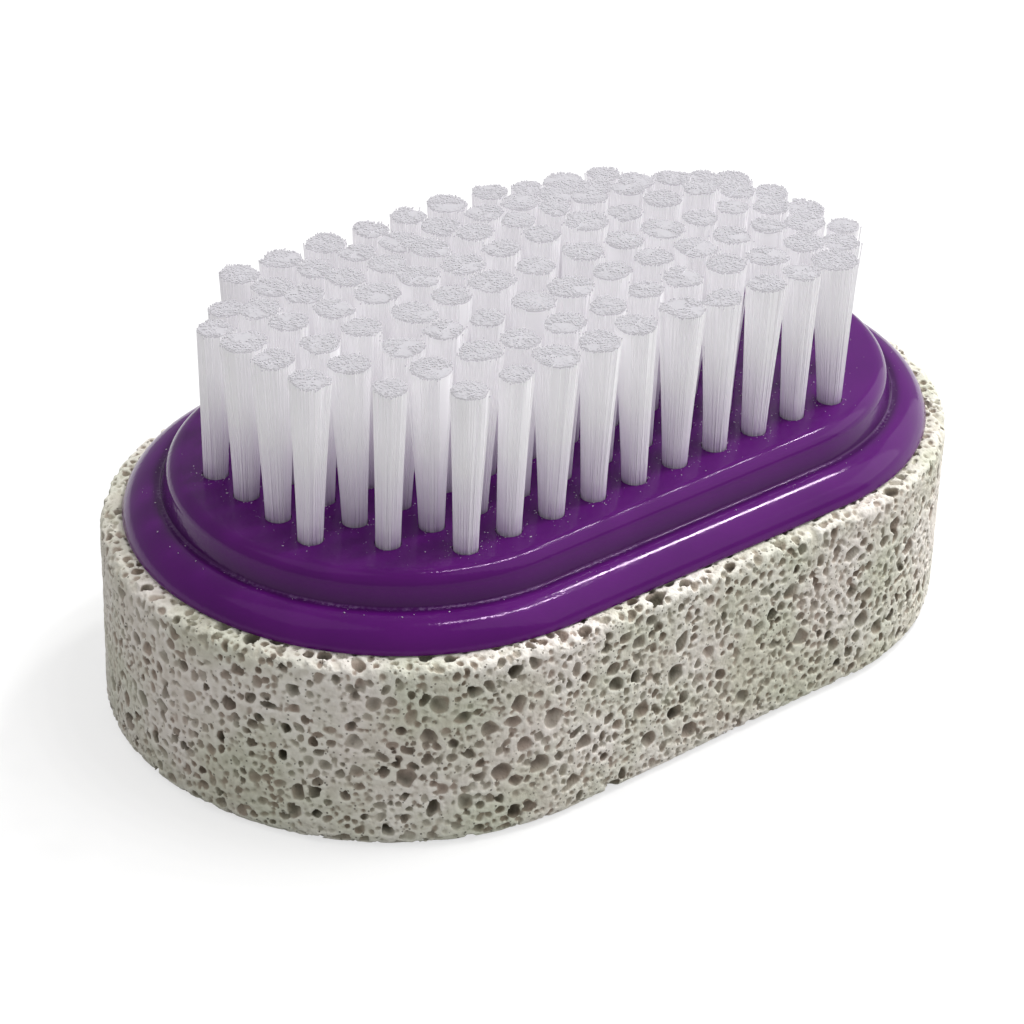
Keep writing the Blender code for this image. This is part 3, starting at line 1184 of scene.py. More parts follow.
def surface_net(solid: np.ndarray) -> tuple[np.ndarray, np.ndarray]:
    """Mesh the surface where a field of distances passes through zero, one point in each cube it crosses.

    Args:
        solid: Distances on a grid, negative inside.

    Returns:
        The points in grid steps, and the faces as rows of four point numbers.
    """
    inside = solid < 0
    corners = np.zeros([n - 1 for n in inside.shape], np.uint8)
    for corner in CUBE_CORNERS:
        corners += inside[tuple(slice(c, c + n) for c, n in zip(corner, corners.shape))]
    crossed = (corners > 0) & (corners < len(CUBE_CORNERS))
    number = np.full(crossed.shape, -1, np.int32)
    cubes = np.argwhere(crossed)
    number[crossed] = np.arange(len(cubes))
    total = np.zeros((len(cubes), 3))
    hits = np.zeros(len(cubes))
    for first, second in CUBE_EDGES:
        ends = [solid[tuple((cubes + corner).T)] for corner in (first, second)]
        passes = (ends[0] < 0) != (ends[1] < 0)
        share = ends[0][passes] / (ends[0][passes] - ends[1][passes])
        total[passes] += np.array(first) + share[:, None] * (np.array(second) - np.array(first))
        hits[passes] += 1
    points = cubes + total / hits[:, None]
    faces = []
    for axis in range(3):
        across, up = np.eye(3, dtype=int)[[(axis + 1) % 3, (axis + 2) % 3]]
        along = np.eye(3, dtype=int)[axis]
        here = inside[tuple(slice(0, n - a) for n, a in zip(inside.shape, along))]
        ahead = inside[tuple(slice(a, n) for n, a in zip(inside.shape, along))]
        edges = np.argwhere(here != ahead)
        leaving = here[tuple(edges.T)]
        around = [number[tuple((edges - step).T)] for step in (0 * across, across, across + up, up)]
        quads = np.stack(around, axis=1)
        quads[~leaving] = quads[~leaving][:, ::-1]
        faces.append(quads)
    return points, np.concatenate(faces)


def largest_part(points: np.ndarray, faces: np.ndarray) -> tuple[np.ndarray, np.ndarray]:
    """Keep the largest connected part of a mesh.

    Args:
        points: The points.
        faces: The faces, rows of point numbers.

    Returns:
        The points and faces of that part.
    """
    part = np.arange(len(points))
    while True:
        lowest = part[faces].min(axis=1)
        joined = part.copy()
        for corner in range(faces.shape[1]):
            np.minimum.at(joined, faces[:, corner], lowest)
        joined = joined[joined]
        if (joined == part).all():
            break
        part = joined
    main = np.bincount(part).argmax()
    kept = part == main
    number = np.cumsum(kept) - 1
    return points[kept], number[faces[kept[faces[:, 0]]]]


def read_field(values: np.ndarray, points: np.ndarray) -> np.ndarray:
    """Read a field on a grid at places between its points.

    Args:
        values: The field.
        points: The places, in grid steps.

    Returns:
        The blended values.
    """
    start = np.minimum(points.astype(int), np.array(values.shape) - 2)
    share = points - start
    found = np.zeros(len(points))
    for corner in CUBE_CORNERS:
        weight = np.prod(np.where(np.array(corner) == 1, share, 1 - share), axis=1)
        found += weight * values[tuple((start + corner).T)]
    return found


# Purple back


@dataclass(frozen=True)
class TuftRow:
    """Where one row of tufts stands."""

    node: str
    y: float
    places: tuple[float, ...]

    @classmethod
    def of_number(cls, number: int, pitch: float, anchor_width: float) -> "TuftRow":
        """Work out a row from its anchors, which stand one under each tuft.

        Args:
            number: The row's number.
            pitch: The step from tuft to tuft.
            anchor_width: How wide one anchor is.

        Returns:
            The row.
        """
        low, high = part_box(f"anchor_row_{number}")
        span = high.x - low.x - anchor_width
        count = round(span / pitch) + 1
        return cls(f"tuft_row_{number}", (low.y + high.y) / 2,
                   tuple(low.x + anchor_width / 2 + pitch * index for index in range(count)))


@dataclass
class BrushBack:
    """The moulded back: a rounded flange, a crease marked for dust and painted shade, and a rounded step
    with a hole for every tuft.
    """

    node: str = "brush_back"
    ledge_width: float = 3.9 * MM
    flange_height: float = 2.6 * MM
    bead_round: float = 3.2 * MM
    bead_foot: float = 0.3 * MM
    foot_flat_share: float = 0.35
    foot_edge_share: float = 0.08
    foot_rise_share: float = 0.4
    bead_fall: float = 9.0
    crease_round: float = 0.28 * MM
    skirt_width: float = 1.6 * MM
    skirt_drop: float = 0.28 * MM
    step_draft: float = 0.5 * MM
    step_round: float = 1.6 * MM
    glue_rim: float = 3.0 * MM
    recess: float = 1.0 * MM
    hole_radius: float = 1.30 * MM
    hole_depth: float = 1.1 * MM
    hole_rim: float = 0.08 * MM
    # reach of the crease mark, which places both dust and painted shade
    dust_reach: float = 0.55 * MM
    round_steps: int = 12
    end_steps: int = 64
    side_steps: int = 24
    hole_sides: int = 28
    sharp_angle: float = 40.0
    outline: Oval = field(init=False)
    bottom: float = field(init=False)
    top: float = field(init=False)

    def __post_init__(self) -> None:
        """Take the sizes from the CAD node."""
        self.outline = Oval.of_node(self.node)
        low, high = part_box(self.node)
        self.bottom, self.top = low.z, high.z

    @staticmethod
    def arc(inset: float, level: float, radius: float, start: float, stop: float,
            steps: int) -> list[tuple[float, float]]:
        """Points of a round in the back's profile.

        Args:
            inset: How far in from the flange's edge the round's centre lies.
            level: The centre's height.
            radius: The round's radius.
            start: The first angle, from outwards to up, in degrees.
            stop: The last angle.
            steps: How many steps it is cut in.

        Returns:
            Pairs of inset and height.
        """
        turns = np.radians(np.linspace(start, stop, steps + 1))
        return [(inset - radius * math.cos(t), level + radius * math.sin(t)) for t in turns]

    def profile(self) -> list[tuple[float, float]]:
        """The profile from the glue recess round the flange and the step to the flat top.

        Returns:
            Pairs of inset and height.
        """
        flange_top = self.bottom + self.flange_height
        skirt = self.bottom - self.skirt_drop
        start = math.asin((skirt + self.bead_foot - flange_top + self.bead_round) / self.bead_round)
        middle = self.bead_round * math.cos(start)
        points = [(self.glue_rim, self.bottom + self.recess), (self.glue_rim, self.bottom),
                  (self.skirt_width, self.bottom), (self.skirt_width, skirt),
                  (self.foot_flat_share * self.bead_foot, skirt),
                  (self.foot_edge_share * self.bead_foot, skirt + self.foot_rise_share * self.bead_foot)]
        points += self.arc(middle, flange_top - self.bead_round, self.bead_round, math.degrees(start),
                           90 + self.bead_fall, 2 * self.round_steps)
        fall = self.bead_round * (1 - math.cos(math.radians(self.bead_fall)))
        crease = self.crease_round
        wall = self.ledge_width
        points += self.arc(wall - crease, flange_top - fall + crease, crease, -90, -180,
                           self.round_steps // 2)
        shoulder = wall + self.step_draft
        points += self.arc(shoulder + self.step_round, self.top - self.step_round, self.step_round, 0, 90,
                           self.round_steps)
        return points

    def crease_closeness(self, inset: float, level: float) -> float:
        """How near a place of the profile lies to the bottom of the crease, where dust settles and painted
        shade falls.

        Args:
            inset: How far in from the flange's edge it lies.
            level: Its height.

        Returns:
            0 away from the crease to 1 at its bottom.
        """
        flange_top = self.bottom + self.flange_height
        aside = inset - self.ledge_width + self.crease_round
        away = math.hypot(aside, level - flange_top) / self.dust_reach
        return math.exp(-away * away)

    def build(self, rows: Sequence[TuftRow], finishes: Finishes) -> bpy.types.Object:
        """Mesh the back, drill it and dress it.

        Args:
            rows: Where the tufts stand.
            finishes: The materials.

        Returns:
            The piece.
        """
        profile = self.profile()
        rings = [self.outline.inset(inset).ring(self.end_steps, self.side_steps) for inset, _ in profile]
        bm = bmesh.new()
        dust_and_shade = bm.verts.layers.float.new(Mark.DUST_AND_SHADE.value)
        loops = []
        for (inset, level), ring in zip(profile, rings):
            loop = [bm.verts.new((x, y, level)) for x, y in ring]
            for vertex in loop:
                # the crease mark, for dust and painted shade
                vertex[dust_and_shade] = self.crease_closeness(inset, level)
            loops.append(loop)
        for lower, upper in zip(loops, loops[1:]):
            for index in range(len(lower)):
                after = (index + 1) % len(lower)
                bm.faces.new((lower[index], lower[after], upper[after], upper[index]))
        bm.faces.new(loops[-1])
        bm.faces.new(loops[0][::-1])
        bmesh.ops.recalc_face_normals(bm, faces=bm.faces)
        mesh = bpy.data.meshes.new("moulded_back")
        bm.to_mesh(mesh)
        bm.free()
        piece = show("moulded_back", mesh, finishes.plastic, [self.node])
        self.drill(piece, rows)
        piece.data.shade_smooth()
        piece.data.set_sharp_from_angle(angle=math.radians(self.sharp_angle))
        return piece

    def drill(self, piece: bpy.types.Object, rows: Sequence[TuftRow]) -> None:
        """Cut a hole with a broken edge for every tuft.

        Args:
            piece: The back.
            rows: Where the tufts stand.
        """
        bm = bmesh.new()
        for row in rows:
            for x in row.places:
                made = bmesh.ops.create_cone(bm, cap_ends=True, segments=self.hole_sides,
                                             radius1=self.hole_radius, radius2=self.hole_radius,
                                             depth=self.hole_depth + self.hole_rim)
                middle = self.top + (self.hole_rim - self.hole_depth) / 2
                bmesh.ops.translate(bm, verts=made["verts"], vec=(x, row.y, middle))
        mesh = bpy.data.meshes.new("hole_cutters")
        bm.to_mesh(mesh)
        bm.free()
        cutter = bpy.data.objects.new("hole_cutters", mesh)
        bpy.context.scene.collection.objects.link(cutter)
        cut = piece.modifiers.new("tuft_holes", 'BOOLEAN')
        cut.operation = 'DIFFERENCE'
        cut.solver = 'EXACT'
        cut.object = cutter
        graph = bpy.context.evaluated_depsgraph_get()
        drilled = bpy.data.meshes.new_from_object(piece.evaluated_get(graph), preserve_all_data_layers=True,
                                                  depsgraph=graph)
        piece.modifiers.clear()
        piece.data = drilled
        bpy.data.objects.remove(cutter)


# Nylon tufts

GOLDEN_TURN = math.pi * (3 - math.sqrt(5))


@dataclass(frozen=True)
class TuftForm:
    """How one tuft flares, leans and ends."""

    flare: np.ndarray
    lean: np.ndarray
    top: float
    clumps: np.ndarray


@dataclass(frozen=True)
class Strip:
    """Points, faces and marks of some of a row's filaments."""

    points: np.ndarray
    faces: np.ndarray
    along: np.ndarray
    strand: np.ndarray


@dataclass
class NylonTufts:
    """Bundles of fine nylon filament that stand in the back's holes and flare towards their cut tips."""

    rows: Sequence[TuftRow]
    foot: float
    tip: float
    strand_radius: float = 0.075 * MM
    bundle_radius: float = 1.13 * MM
    flare_radius: float = 1.84 * MM
    outer_strands: int = 54
    second_strands: int = 50
    third_strands: int = 24
    tip_strands: int = 200
    tip_radius: float = 0.14 * MM
    layer_step: float = 0.12 * MM
    filling_gap: float = 0.13 * MM
    filling_drop: float = 0.24 * MM
    filling_sides: int = 32
    tip_length: float = 0.8 * MM
    lean: float = 0.42 * MM
    clumps: int = 6
    clump_lean: float = 0.13 * MM
    clump_drop: float = 0.20 * MM
    stray: float = 0.06 * MM
    splay: float = 0.5 * MM
    splayed_share: float = 0.035
    cut_unevenness: float = 0.16 * MM
    side_wear: float = 2.6 * MM
    side_wear_start: float = 4.0 * MM
    side_wear_reach: float = 14.0 * MM
    end_wear: float = 3.0 * MM
    right_wear_reach: float = 30.0 * MM
    left_wear_start: float = 22.0 * MM
    left_wear_reach: float = 14.0 * MM
    near_wear_share: float = 0.45
    last_wear: float = 3.0 * MM
    last_wear_start: float = 24.0 * MM
    last_wear_reach: float = 11.0 * MM
    end_lean: float = 0.70 * MM
    end_lean_start: float = 22.0 * MM
    end_lean_reach: float = 14.0 * MM
    flare_spread: Span = (0.88, 1.18)
    flare_along: Span = (0.94, 1.08)
    flare_across: Span = (0.92, 1.04)
    top_spread: float = 0.4
    flare_bend: float = 1.15
    turn_spread: float = 0.22
    out_spread: float = 0.03
    tip_start_share: float = 0.95
    tip_spread_share: float = 0.95
    filling_top_share: float = 0.55
    filling_rise_share: float = 0.75
    filling_shade: float = 0.3
    thickness_spread: Span = (0.88, 1.12)
    clump_turn_spread: float = 0.3
    clump_places: Span = (0.5, 0.9)
    rings: int = 6
    sides: int = 6
    sharp_angle: float = 70.0
    seed: int = 23

    def build(self, finishes: Finishes) -> list[bpy.types.Object]:
        """Make one piece for each row.

        Args:
            finishes: The materials.

        Returns:
            The pieces.
        """
        pieces = []
        for number, row in enumerate(self.rows, start=1):
            rng = np.random.default_rng(self.seed + number)
            name = f"nylon_row_{number}"
            long, short, fill = [], [], []
            for x in row.places:
                lines, ends, core = self.tuft(x, row.y, rng)
                long.append(lines)
                short.append(ends)
                fill.append(core)
            parts = [self.sweep(np.concatenate(long), self.strand_radius, 0.0, rng),
                     self.sweep(np.concatenate(short), self.tip_radius, self.tip_start_share, rng),
                     self.loft(np.stack(fill))]
            mesh = self.joined(name, parts)
            pieces.append(show(name, mesh, finishes.nylon, [row.node]))
        return pieces

    def worn_tip(self, x: float, y: float) -> float:
        """Height of the cut tips at a place: the far side and the ends are worn lower, as in the solid.

        Args:
            x: The place along the back.
            y: The place across.

        Returns:
            The height.
        """
        side = self.eased((y - self.side_wear_start) / self.side_wear_reach)
        near = self.near_wear_share
        right = self.eased(x / self.right_wear_reach) * (near + (1 - near) * side)
        left = self.eased((-x - self.left_wear_start) / self.left_wear_reach) * side
        last = self.eased((x - self.last_wear_start) / self.last_wear_reach)
        return self.tip - self.side_wear * side - self.end_wear * (right + left) - self.last_wear * last

    @staticmethod
    def eased(share: float) -> float:
        """A share held from 0 to 1 and eased at both ends."""
        held = min(max(share, 0.0), 1.0)
        return held * held * (3 - 2 * held)

    def tuft(self, x: float, y: float,
             rng: np.random.Generator) -> tuple[np.ndarray, np.ndarray, np.ndarray]:
        """Centre lines of one tuft's filaments and the rings of the filling between them.

        Args:
            x: The tuft's place along the back.
            y: Its place across.
            rng: The source of chance.

        Returns:
            The long and the tip filaments, as filament, ring, coordinate, and the filling's rings, as ring,
            side, coordinate.
        """
        round_flare = self.flare_radius * rng.uniform(*self.flare_spread)
        flare = round_flare * np.array([rng.uniform(*self.flare_along), rng.uniform(*self.flare_across)])
        lean = rng.uniform(-1, 1, 2) * self.lean
        lean[0] -= self.end_lean * self.eased((x - self.end_lean_start) / self.end_lean_reach)
        top = self.worn_tip(x, y) - self.top_spread * self.cut_unevenness * rng.random()
        form = TuftForm(flare, lean, top, self.clump_table(rng))
        parts = self.long_filaments(form, rng), self.tip_filaments(form, rng), self.filling(form)
        for part in parts:
            part[:, :, 0] += x
            part[:, :, 1] += y
        return parts

    def long_filaments(self, form: TuftForm, rng: np.random.Generator) -> np.ndarray:
        """Centre lines of the filaments that show at a tuft's side.

        Args:
            form: The tuft's form.
            rng: The source of chance.

        Returns:
            Their points: filament, ring, coordinate.
        """
        spots = []
        for layer, count in enumerate((self.outer_strands, self.second_strands, self.third_strands)):
            order = np.arange(count) + rng.uniform(0, 1)
            turn = (order + rng.uniform(-self.turn_spread, self.turn_spread, count)) * 2 * math.pi / count
            out = 1 - layer * self.layer_step / self.bundle_radius
            out = out - rng.random(count) * self.out_spread
            spots.append(np.stack([out * np.cos(turn), out * np.sin(turn)], axis=1))
        spot = np.concatenate(spots)
        root = spot * self.bundle_radius
        end, drop = self.cut_places(spot, form, rng)
        loose = rng.random(len(spot)) < self.splayed_share
        end[loose] += spot[loose] * self.splay * rng.random((loose.sum(), 1))
        level = form.top - drop - self.cut_unevenness * rng.random(len(spot)) ** 2
        share = np.linspace(0, 1, self.rings)
        lines = np.zeros((len(spot), self.rings, 3))
        lines[:, :, :2] = root[:, None] + (end - root)[:, None] * (share ** self.flare_bend)[None, :, None]
        lines[:, :, 2] = self.foot + (level[:, None] - self.foot) * share[None, :]
        return lines

    def tip_filaments(self, form: TuftForm, rng: np.random.Generator) -> np.ndarray:
        """Centre lines of the short filaments that make a tuft's cut end, spread evenly over it.

        Args:
            form: The tuft's form.
            rng: The source of chance.

        Returns:
            Their points: filament, ring, coordinate.
        """
        order = np.arange(self.tip_strands) + 0.5
        turn = order * GOLDEN_TURN + rng.uniform(0, 2 * math.pi)
        out = np.sqrt(order / self.tip_strands) * (1 - self.layer_step / self.flare_radius)
        spot = np.stack([out * np.cos(turn), out * np.sin(turn)], axis=1)
        end, drop = self.cut_places(spot, form, rng)
        ends = np.zeros((len(spot), 2, 3))
        ends[:, 1, :2] = end
        ends[:, 0, :2] = form.lean + (end - form.lean) * self.tip_spread_share
        ends[:, 1, 2] = form.top - drop - self.cut_unevenness * rng.random(len(spot)) ** 2
        ends[:, 0, 2] = form.top - self.tip_length
        return ends

    def filling(self, form: TuftForm) -> np.ndarray:
        """Rings of the solid filling that stands for the filaments deep in a tuft.

        Args:
            form: The tuft's form.

        Returns:
            Their points: ring, side, coordinate.
        """
        share = np.linspace(0, 1, self.rings)
        bend = share ** self.flare_bend
        around = np.arange(self.filling_sides) * 2 * math.pi / self.filling_sides
        circle = np.stack([np.cos(around), np.sin(around)], axis=1)
        flaring = (form.flare - self.bundle_radius)[None] * bend[:, None]
        wide = self.bundle_radius + flaring - self.filling_gap
        core = np.zeros((self.rings + 1, self.filling_sides, 3))
        core[:-1, :, :2] = circle[None] * wide[:, None] + form.lean[None, None] * bend[:, None, None]
        core[:-1, :, 2] = (self.foot + (form.top - self.filling_drop - self.foot) * share)[:, None]
        core[-1, :, :2] = circle * wide[-1] * self.filling_top_share + form.lean
        core[-1, :, 2] = form.top - self.filling_rise_share * self.filling_drop
        return core

    def cut_places(self, spot: np.ndarray, form: TuftForm,
                   rng: np.random.Generator) -> tuple[np.ndarray, np.ndarray]:
        """Where filaments end, from where they stand in their tuft.

        Args:
            spot: Their places in the tuft, from -1 to 1.
            form: The tuft's form.
            rng: The source of chance.

        Returns:
            The ends' places from the tuft's middle, and how much lower their clumps end.
        """
        away = np.linalg.norm(spot[:, None] - form.clumps[None, :, :2], axis=-1)
        clump = form.clumps[away.argmin(axis=1)]
        end = spot * form.flare + form.lean + clump[:, 2:4] + rng.normal(0, 1, spot.shape) * self.stray
        return end, clump[:, 4]

    def clump_table(self, rng: np.random.Generator) -> np.ndarray:
        """Where the clumps of one tuft's tip lie, and how each leans and drops.

        Args:
            rng: The source of chance.

        Returns:
            One row a clump: place in the tuft from -1 to 1, sideways lean, drop.
        """
        spread = rng.uniform(-self.clump_turn_spread, self.clump_turn_spread, self.clumps)
        turn = (np.arange(self.clumps) + spread) * 2 * math.pi / self.clumps
        out = rng.uniform(*self.clump_places, self.clumps)
        place = np.stack([out * np.cos(turn), out * np.sin(turn)], axis=1)
        lean = rng.normal(0, 1, (self.clumps, 2)) * self.clump_lean
        drop = rng.random((self.clumps, 1)) ** 2 * self.clump_drop
        return np.concatenate([place, lean, drop], axis=1)

    def sweep(self, paths: np.ndarray, radius: float, first_share: float,
              rng: np.random.Generator) -> Strip:
        """Give filaments their thickness.

        Args:
            paths: The lines' points: filament, ring, coordinate.
            radius: The filaments' radius.
            first_share: Where the lines start, as a share of the tuft's height.
            rng: The source of chance.

        Returns:
            Points, faces and marks.
        """
        count, rings = paths.shape[:2]
        sides = self.sides
        turn = np.arange(sides) * 2 * math.pi / sides
        circle = np.stack([np.cos(turn), np.sin(turn), np.zeros(sides)], axis=1)
        size = radius * rng.uniform(*self.thickness_spread, (count, 1, 1, 1))
        points = paths[:, :, None, :] + circle[None, None] * size
        faces = self.tubes(count, rings, sides)
        along = np.linspace(first_share, 1, rings)[None, :, None]
        along = np.broadcast_to(along, (count, rings, sides)).ravel()
        strand = np.repeat(rng.random(count), rings * sides)
        return Strip(points.reshape(-1, 3), faces, along, strand)

    def loft(self, cores: np.ndarray) -> Strip:
        """Close the fillings between the filaments.

        Args:
            cores: Their rings: tuft, ring, side, coordinate.

        Returns:
            Points, faces and marks.
        """
        count, rings, sides = cores.shape[:3]
        faces = self.tubes(count, rings, sides)
        share = np.minimum(np.arange(rings) / (rings - 2), 1)
        along = np.broadcast_to(share[None, :, None], (count, rings, sides)).ravel()
        return Strip(cores.reshape(-1, 3), faces, along, np.full(count * rings * sides, self.filling_shade))

    @staticmethod
    def tubes(count: int, rings: int, sides: int) -> np.ndarray:
        """Faces of closed tubes, each of some rings of points with a cap at both ends.

        Args:
            count: How many tubes.
            rings: How many rings each has.
            sides: How many points a ring has, an even number.

        Returns:
            The faces, rows of four point numbers.
        """
        ring = np.arange(sides)
        base = sides * np.arange(rings - 1)[:, None]
        lower, after = ring[None] + base, (ring[None] + 1) % sides + base
        wall = np.stack([lower, after, after + sides, lower + sides], axis=-1).reshape(-1, 4)
        last = sides * (rings - 1)
        caps = []
        for k in range(sides // 2 - 1):
            a, b, c, d = k, k + 1, sides - 2 - k, sides - 1 - k
            caps += [[a, d, c, b], [last + a, last + b, last + c, last + d]]
        one = np.concatenate([wall, np.array(caps)])
        return (one[None] + rings * sides * np.arange(count)[:, None, None]).reshape(-1, 4)

    def joined(self, name: str, parts: Sequence[Strip]) -> bpy.types.Mesh:
        """Put several sets of points and faces in one mesh.

        Args:
            name: The mesh's name.
            parts: The sets.

        Returns:
            The mesh, with its marks.
        """
        starts = np.cumsum([0] + [len(part.points) for part in parts[:-1]])
        faces = np.concatenate([part.faces + start for part, start in zip(parts, starts)])
        mesh = mesh_from_arrays(name, np.concatenate([part.points for part in parts]), faces)
        mesh.set_sharp_from_angle(angle=math.radians(self.sharp_angle))
        set_mark(mesh, Mark.ALONG, np.concatenate([part.along for part in parts]))
        set_mark(mesh, Mark.STRAND, np.concatenate([part.strand for part in parts]))
        return mesh


# Dust


@dataclass(frozen=True)
class FleckBand:
    """A band round the back that flecks lie on, either evenly or more of them near its outer side."""

    count: int
    near: float
    far: float
    level: float
    even: bool = False


@dataclass
class SettledFlecks:
    """Loose white flecks that lie on the back: along its crease and between its tufts."""

    back: BrushBack
    rows: Sequence[TuftRow]
    on_top: int = 320
    round_tufts: int = 2400
    in_crease: int = 70
    on_flange: int = 40
    smallest: float = 0.022 * MM
    largest: float = 0.075 * MM
    tuft_spread: float = 0.7 * MM
    crease_width: float = 0.8 * MM
    crease_sink: float = 0.02 * MM
    flange_near: float = 1.9 * MM
    flange_far: float = 0.5 * MM
    long: Span = (0.8, 2.2)
    wide: Span = (0.6, 1.0)
    high: Span = (0.4, 0.8)
    unevenness: Span = (0.8, 1.2)
    rise_share: float = 0.3
    seed: int = 41

    def bands(self) -> tuple[FleckBand, ...]:
        """The bands of the back that flecks lie on: its flat top, its crease and its flange."""
        back = self.back
        flat_top = back.ledge_width + back.step_draft + back.step_round
        flange_top = back.bottom + back.flange_height
        return (FleckBand(self.on_top, flat_top, back.outline.half_width, back.top, even=True),
                FleckBand(self.in_crease, back.ledge_width - self.crease_width,
                          back.ledge_width - back.crease_round, flange_top - self.crease_sink),
                FleckBand(self.on_flange, back.ledge_width - self.flange_near,
                          back.ledge_width - self.flange_far, flange_top))

    def build(self, finishes: Finishes) -> bpy.types.Object:
        """Scatter the flecks and dress them.

        Args:
            finishes: The materials.

        Returns:
            The piece.
        """
        rng = np.random.default_rng(self.seed)
        bm = bmesh.new()
        for band in self.bands():
            for _ in range(band.count):
                share = 1 - math.sqrt(rng.random())
                if band.even:
                    share = rng.random()
                oval = self.back.outline.inset(band.near + (band.far - band.near) * share)
                spot, _ = oval.at(rng.random())
                self.add_fleck(bm, (spot.x, spot.y), band.level, rng)
        places = [(x, row.y) for row in self.rows for x in row.places]
        for number in rng.integers(0, len(places), self.round_tufts):
            turn = rng.uniform(0, 2 * math.pi)
            out = self.back.hole_radius + rng.exponential(self.tuft_spread)
            spot = places[number][0] + out * math.cos(turn), places[number][1] + out * math.sin(turn)
            self.add_fleck(bm, spot, self.back.top, rng)
        mesh = bpy.data.meshes.new("settled_flecks")
        bm.to_mesh(mesh)
        bm.free()
        return show("settled_flecks", mesh, finishes.flecks)

    def add_fleck(self, bm: bmesh.types.BMesh, spot: tuple[float, float], level: float,
                  rng: np.random.Generator) -> None:
        """Add one uneven crumb that lies on a level.

        Args:
            bm: The mesh being made.
            spot: Its x and y.
            level: The height it lies on.
            rng: The source of chance.
        """
        size = self.smallest * (self.largest / self.smallest) ** rng.random() ** 2
        made = bmesh.ops.create_icosphere(bm, subdivisions=1, radius=size)
        stretch = Matrix.Diagonal([rng.uniform(*spread) for spread in (self.long, self.wide, self.high)])
        turn = Matrix.Rotation(rng.uniform(0, math.pi), 3, 'Z')
        for vertex in made["verts"]:
            vertex.co = turn @ (stretch @ vertex.co) * rng.uniform(*self.unevenness)
            vertex.co += Vector((spot[0], spot[1], level + self.rise_share * size))


# Hidden pieces that keep their CAD shape


@dataclass(frozen=True)
class HiddenPieces:
    """The glue line and the anchor wires, which keep their CAD shapes and get their finishes."""

    glue: str = "adhesive_bond"
    anchors: str = "anchor_row_"

    def dress(self, finishes: Finishes) -> None:
        """Give the CAD nodes their materials.

        Args:
            finishes: The materials.
        """
        for name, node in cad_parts.items():
            if name == self.glue:
                self.paint(node, finishes.adhesive)
            elif name.startswith(self.anchors):
                self.paint(node, finishes.wire)

    @staticmethod
    def paint(node: bpy.types.Object, material: bpy.types.Material) -> None:
        """Put a material on a node's slots.

        Args:
            node: The CAD node.
            material: Its finish.
        """
        if not node.material_slots:
            node.data.materials.append(material)
        for material_slot in node.material_slots:
            material_slot.material = material
        log.info("%s: %s", node.name, material.name)


# Studio


@dataclass(frozen=True)
class SoftBox:
    """A soft light that faces the block: a square, or a level strip where it has a width of its own."""

    name: str
    azimuth: float
    elevation: float
    distance: float
    size: float
    level: float
    width: float | None = None

    def hang(self, aim: Vector) -> None:
        """Put the light in the scene.

        Args:
            aim: The point that it faces.
        """
        lamp = bpy.data.lights.new(self.name, 'AREA')
        if self.width is not None:
            lamp.shape = 'RECTANGLE'
            lamp.size = self.width
            lamp.size_y = self.size
        else:
            lamp.size = self.size
        lamp.energy = self.level * math.pi ** 2 * self.distance ** 2
        holder = bpy.data.objects.new(self.name, lamp)
        around, up = math.radians(self.azimuth), math.radians(self.elevation)
        way = Vector((math.cos(around) * math.cos(up), math.sin(around) * math.cos(up), math.sin(up)))
        holder.location = aim + way * self.distance
        holder.rotation_euler = way.to_track_quat('Z', 'Y').to_euler()
        bpy.context.scene.collection.objects.link(holder)


@dataclass(frozen=True)
class PhotoCamera:
    """The photograph's view: where it looks from and its lens."""

    azimuth: float = -40.662
    elevation: float = 30.965
    roll: float = 1.721
    distance: float = 0.36082
    aside: float = 0.002385
    above: float = 0.006148
    lens: float = 124.15
    sensor: float = 36.0
    nearest: float = 0.01

    def stand(self, aim: Vector) -> None:
        """Put the camera in the scene.

        Args:
            aim: The point that it was measured from.
        """
        around, up, roll = (math.radians(a) for a in (self.azimuth, self.elevation, self.roll))
        back = Vector((math.sin(around) * math.cos(up), -math.cos(around) * math.cos(up), math.sin(up)))
        level_right = (-back).cross(Vector((0, 0, 1))).normalized()
        level_up = level_right.cross(-back)
        right = math.cos(roll) * level_right + math.sin(roll) * level_up
        upward = math.cos(roll) * level_up - math.sin(roll) * level_right
        data = bpy.data.cameras.new("photo_view")
        data.lens = self.lens
        data.sensor_width = self.sensor
        data.clip_start = self.nearest
        camera = bpy.data.objects.new("photo_view", data)
        place = Matrix((right, upward, back)).transposed().to_4x4()
        place.translation = aim + back * self.distance - right * self.aside - upward * self.above
        camera.matrix_world = place
        bpy.context.scene.collection.objects.link(camera)
        bpy.context.scene.camera = camera


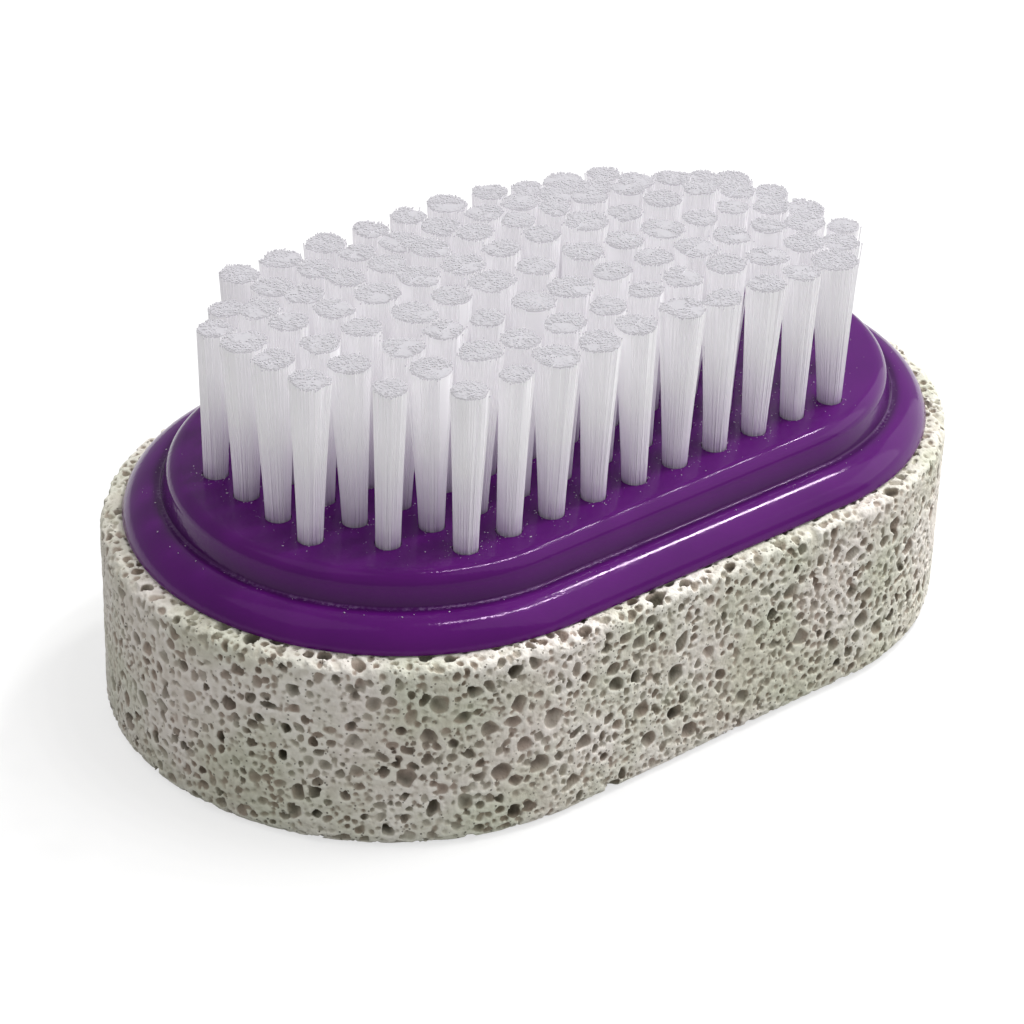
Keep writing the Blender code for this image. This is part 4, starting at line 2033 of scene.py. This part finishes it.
@dataclass
class Studio:
    """A white floor under soft light, with the block's shadow on it."""

    half_floor: float = 3.0
    floor_cells: int = 8
    drop: float = 0.02 * MM
    ambient: float = 0.49
    floor_colour: Colour = (0.39, 0.39, 0.39)
    floor_roughness: float = 0.9
    floor_lift: float = 0.65
    lights: tuple[SoftBox, ...] = (
        SoftBox("key", 11.0, 52.5, 0.9, 0.12, 0.24, 0.085),
        SoftBox("overhead_1", -10.0, 60.0, 0.9, 0.05, 0.075),
        SoftBox("overhead_2", -20.0, 65.0, 0.9, 0.05, 0.075),
        SoftBox("overhead_3", -27.0, 70.0, 0.9, 0.05, 0.075),
        SoftBox("overhead_4", -34.0, 75.0, 0.9, 0.05, 0.065),
        SoftBox("overhead_5", -46.0, 80.0, 0.9, 0.05, 0.050),
        SoftBox("right_fill", -42.0, 42.0, 0.6, 0.7, 0.39),
        SoftBox("side_fill", -12.0, 12.0, 0.9, 0.9, 0.23),
        SoftBox("left_fill", 165.0, 62.0, 1.3, 0.8, 0.06),
    )

    def build(self) -> None:
        """Make the floor, the world, the lights and the camera."""
        aim = Vector((0, 0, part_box("pumice_stone")[1].z))
        self.lay_floor()
        self.light_world()
        for light in self.lights:
            light.hang(aim)
        PhotoCamera().stand(aim)
        bpy.context.scene.view_settings.view_transform = 'Standard'

    def lay_floor(self) -> None:
        """Make the floor, white to the camera but for the shadow."""
        bm = bmesh.new()
        bmesh.ops.create_grid(bm, x_segments=self.floor_cells, y_segments=self.floor_cells,
                              size=self.half_floor)
        bmesh.ops.translate(bm, verts=bm.verts, vec=(0, 0, -self.drop))
        mesh = bpy.data.meshes.new("floor")
        bm.to_mesh(mesh)
        bm.free()
        bench, shader, material = start_material("white_paper_floor")
        shader.inputs["Base Color"].default_value = (*self.floor_colour, 1.0)
        shader.inputs["Roughness"].default_value = self.floor_roughness
        shader.inputs["Specular IOR Level"].default_value = 0.0
        path = bench.add("LightPath")
        shader.inputs["Emission Color"].default_value = (*WHITE, 1.0)
        seen = bench.maths('MAXIMUM', path.outputs["Is Camera Ray"], path.outputs["Is Glossy Ray"])
        seen = bench.maths('MAXIMUM', seen, path.outputs["Is Transmission Ray"])
        bench.join(bench.maths('MULTIPLY', seen, self.floor_lift), shader.inputs["Emission Strength"])
        mesh.materials.append(material)
        floor = bpy.data.objects.new("floor", mesh)
        bpy.context.scene.collection.objects.link(floor)

    def light_world(self) -> None:
        """Make the even white surroundings that fill the shadows."""
        world = bpy.data.worlds.new("white_surround")
        bpy.context.scene.world = world
        world.use_nodes = True
        sky = world.node_tree.nodes["Background"]
        sky.inputs["Color"].default_value = (*WHITE, 1.0)
        sky.inputs["Strength"].default_value = self.ambient


def main() -> None:
    """Build the block's pieces in order, then the studio; each piece logs its face count."""
    finishes = Finishes()
    rows = [TuftRow.of_number(number, TUFT_PITCH, ANCHOR_WIDTH) for number in range(1, ROW_COUNT + 1)]
    PumiceStone().build(finishes)
    back = BrushBack()
    back.build(rows, finishes)
    tip = max(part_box(row.node)[1].z for row in rows)
    NylonTufts(rows, foot=back.top - HELD_SHARE * back.hole_depth, tip=tip).build(finishes)
    SettledFlecks(back, rows).build(finishes)
    HiddenPieces().dress(finishes)
    Studio().build()
    bpy.context.view_layer.update()


if __name__ == "__main__":
    logging.basicConfig(level=logging.INFO, format="%(name)s: %(message)s")
    main()
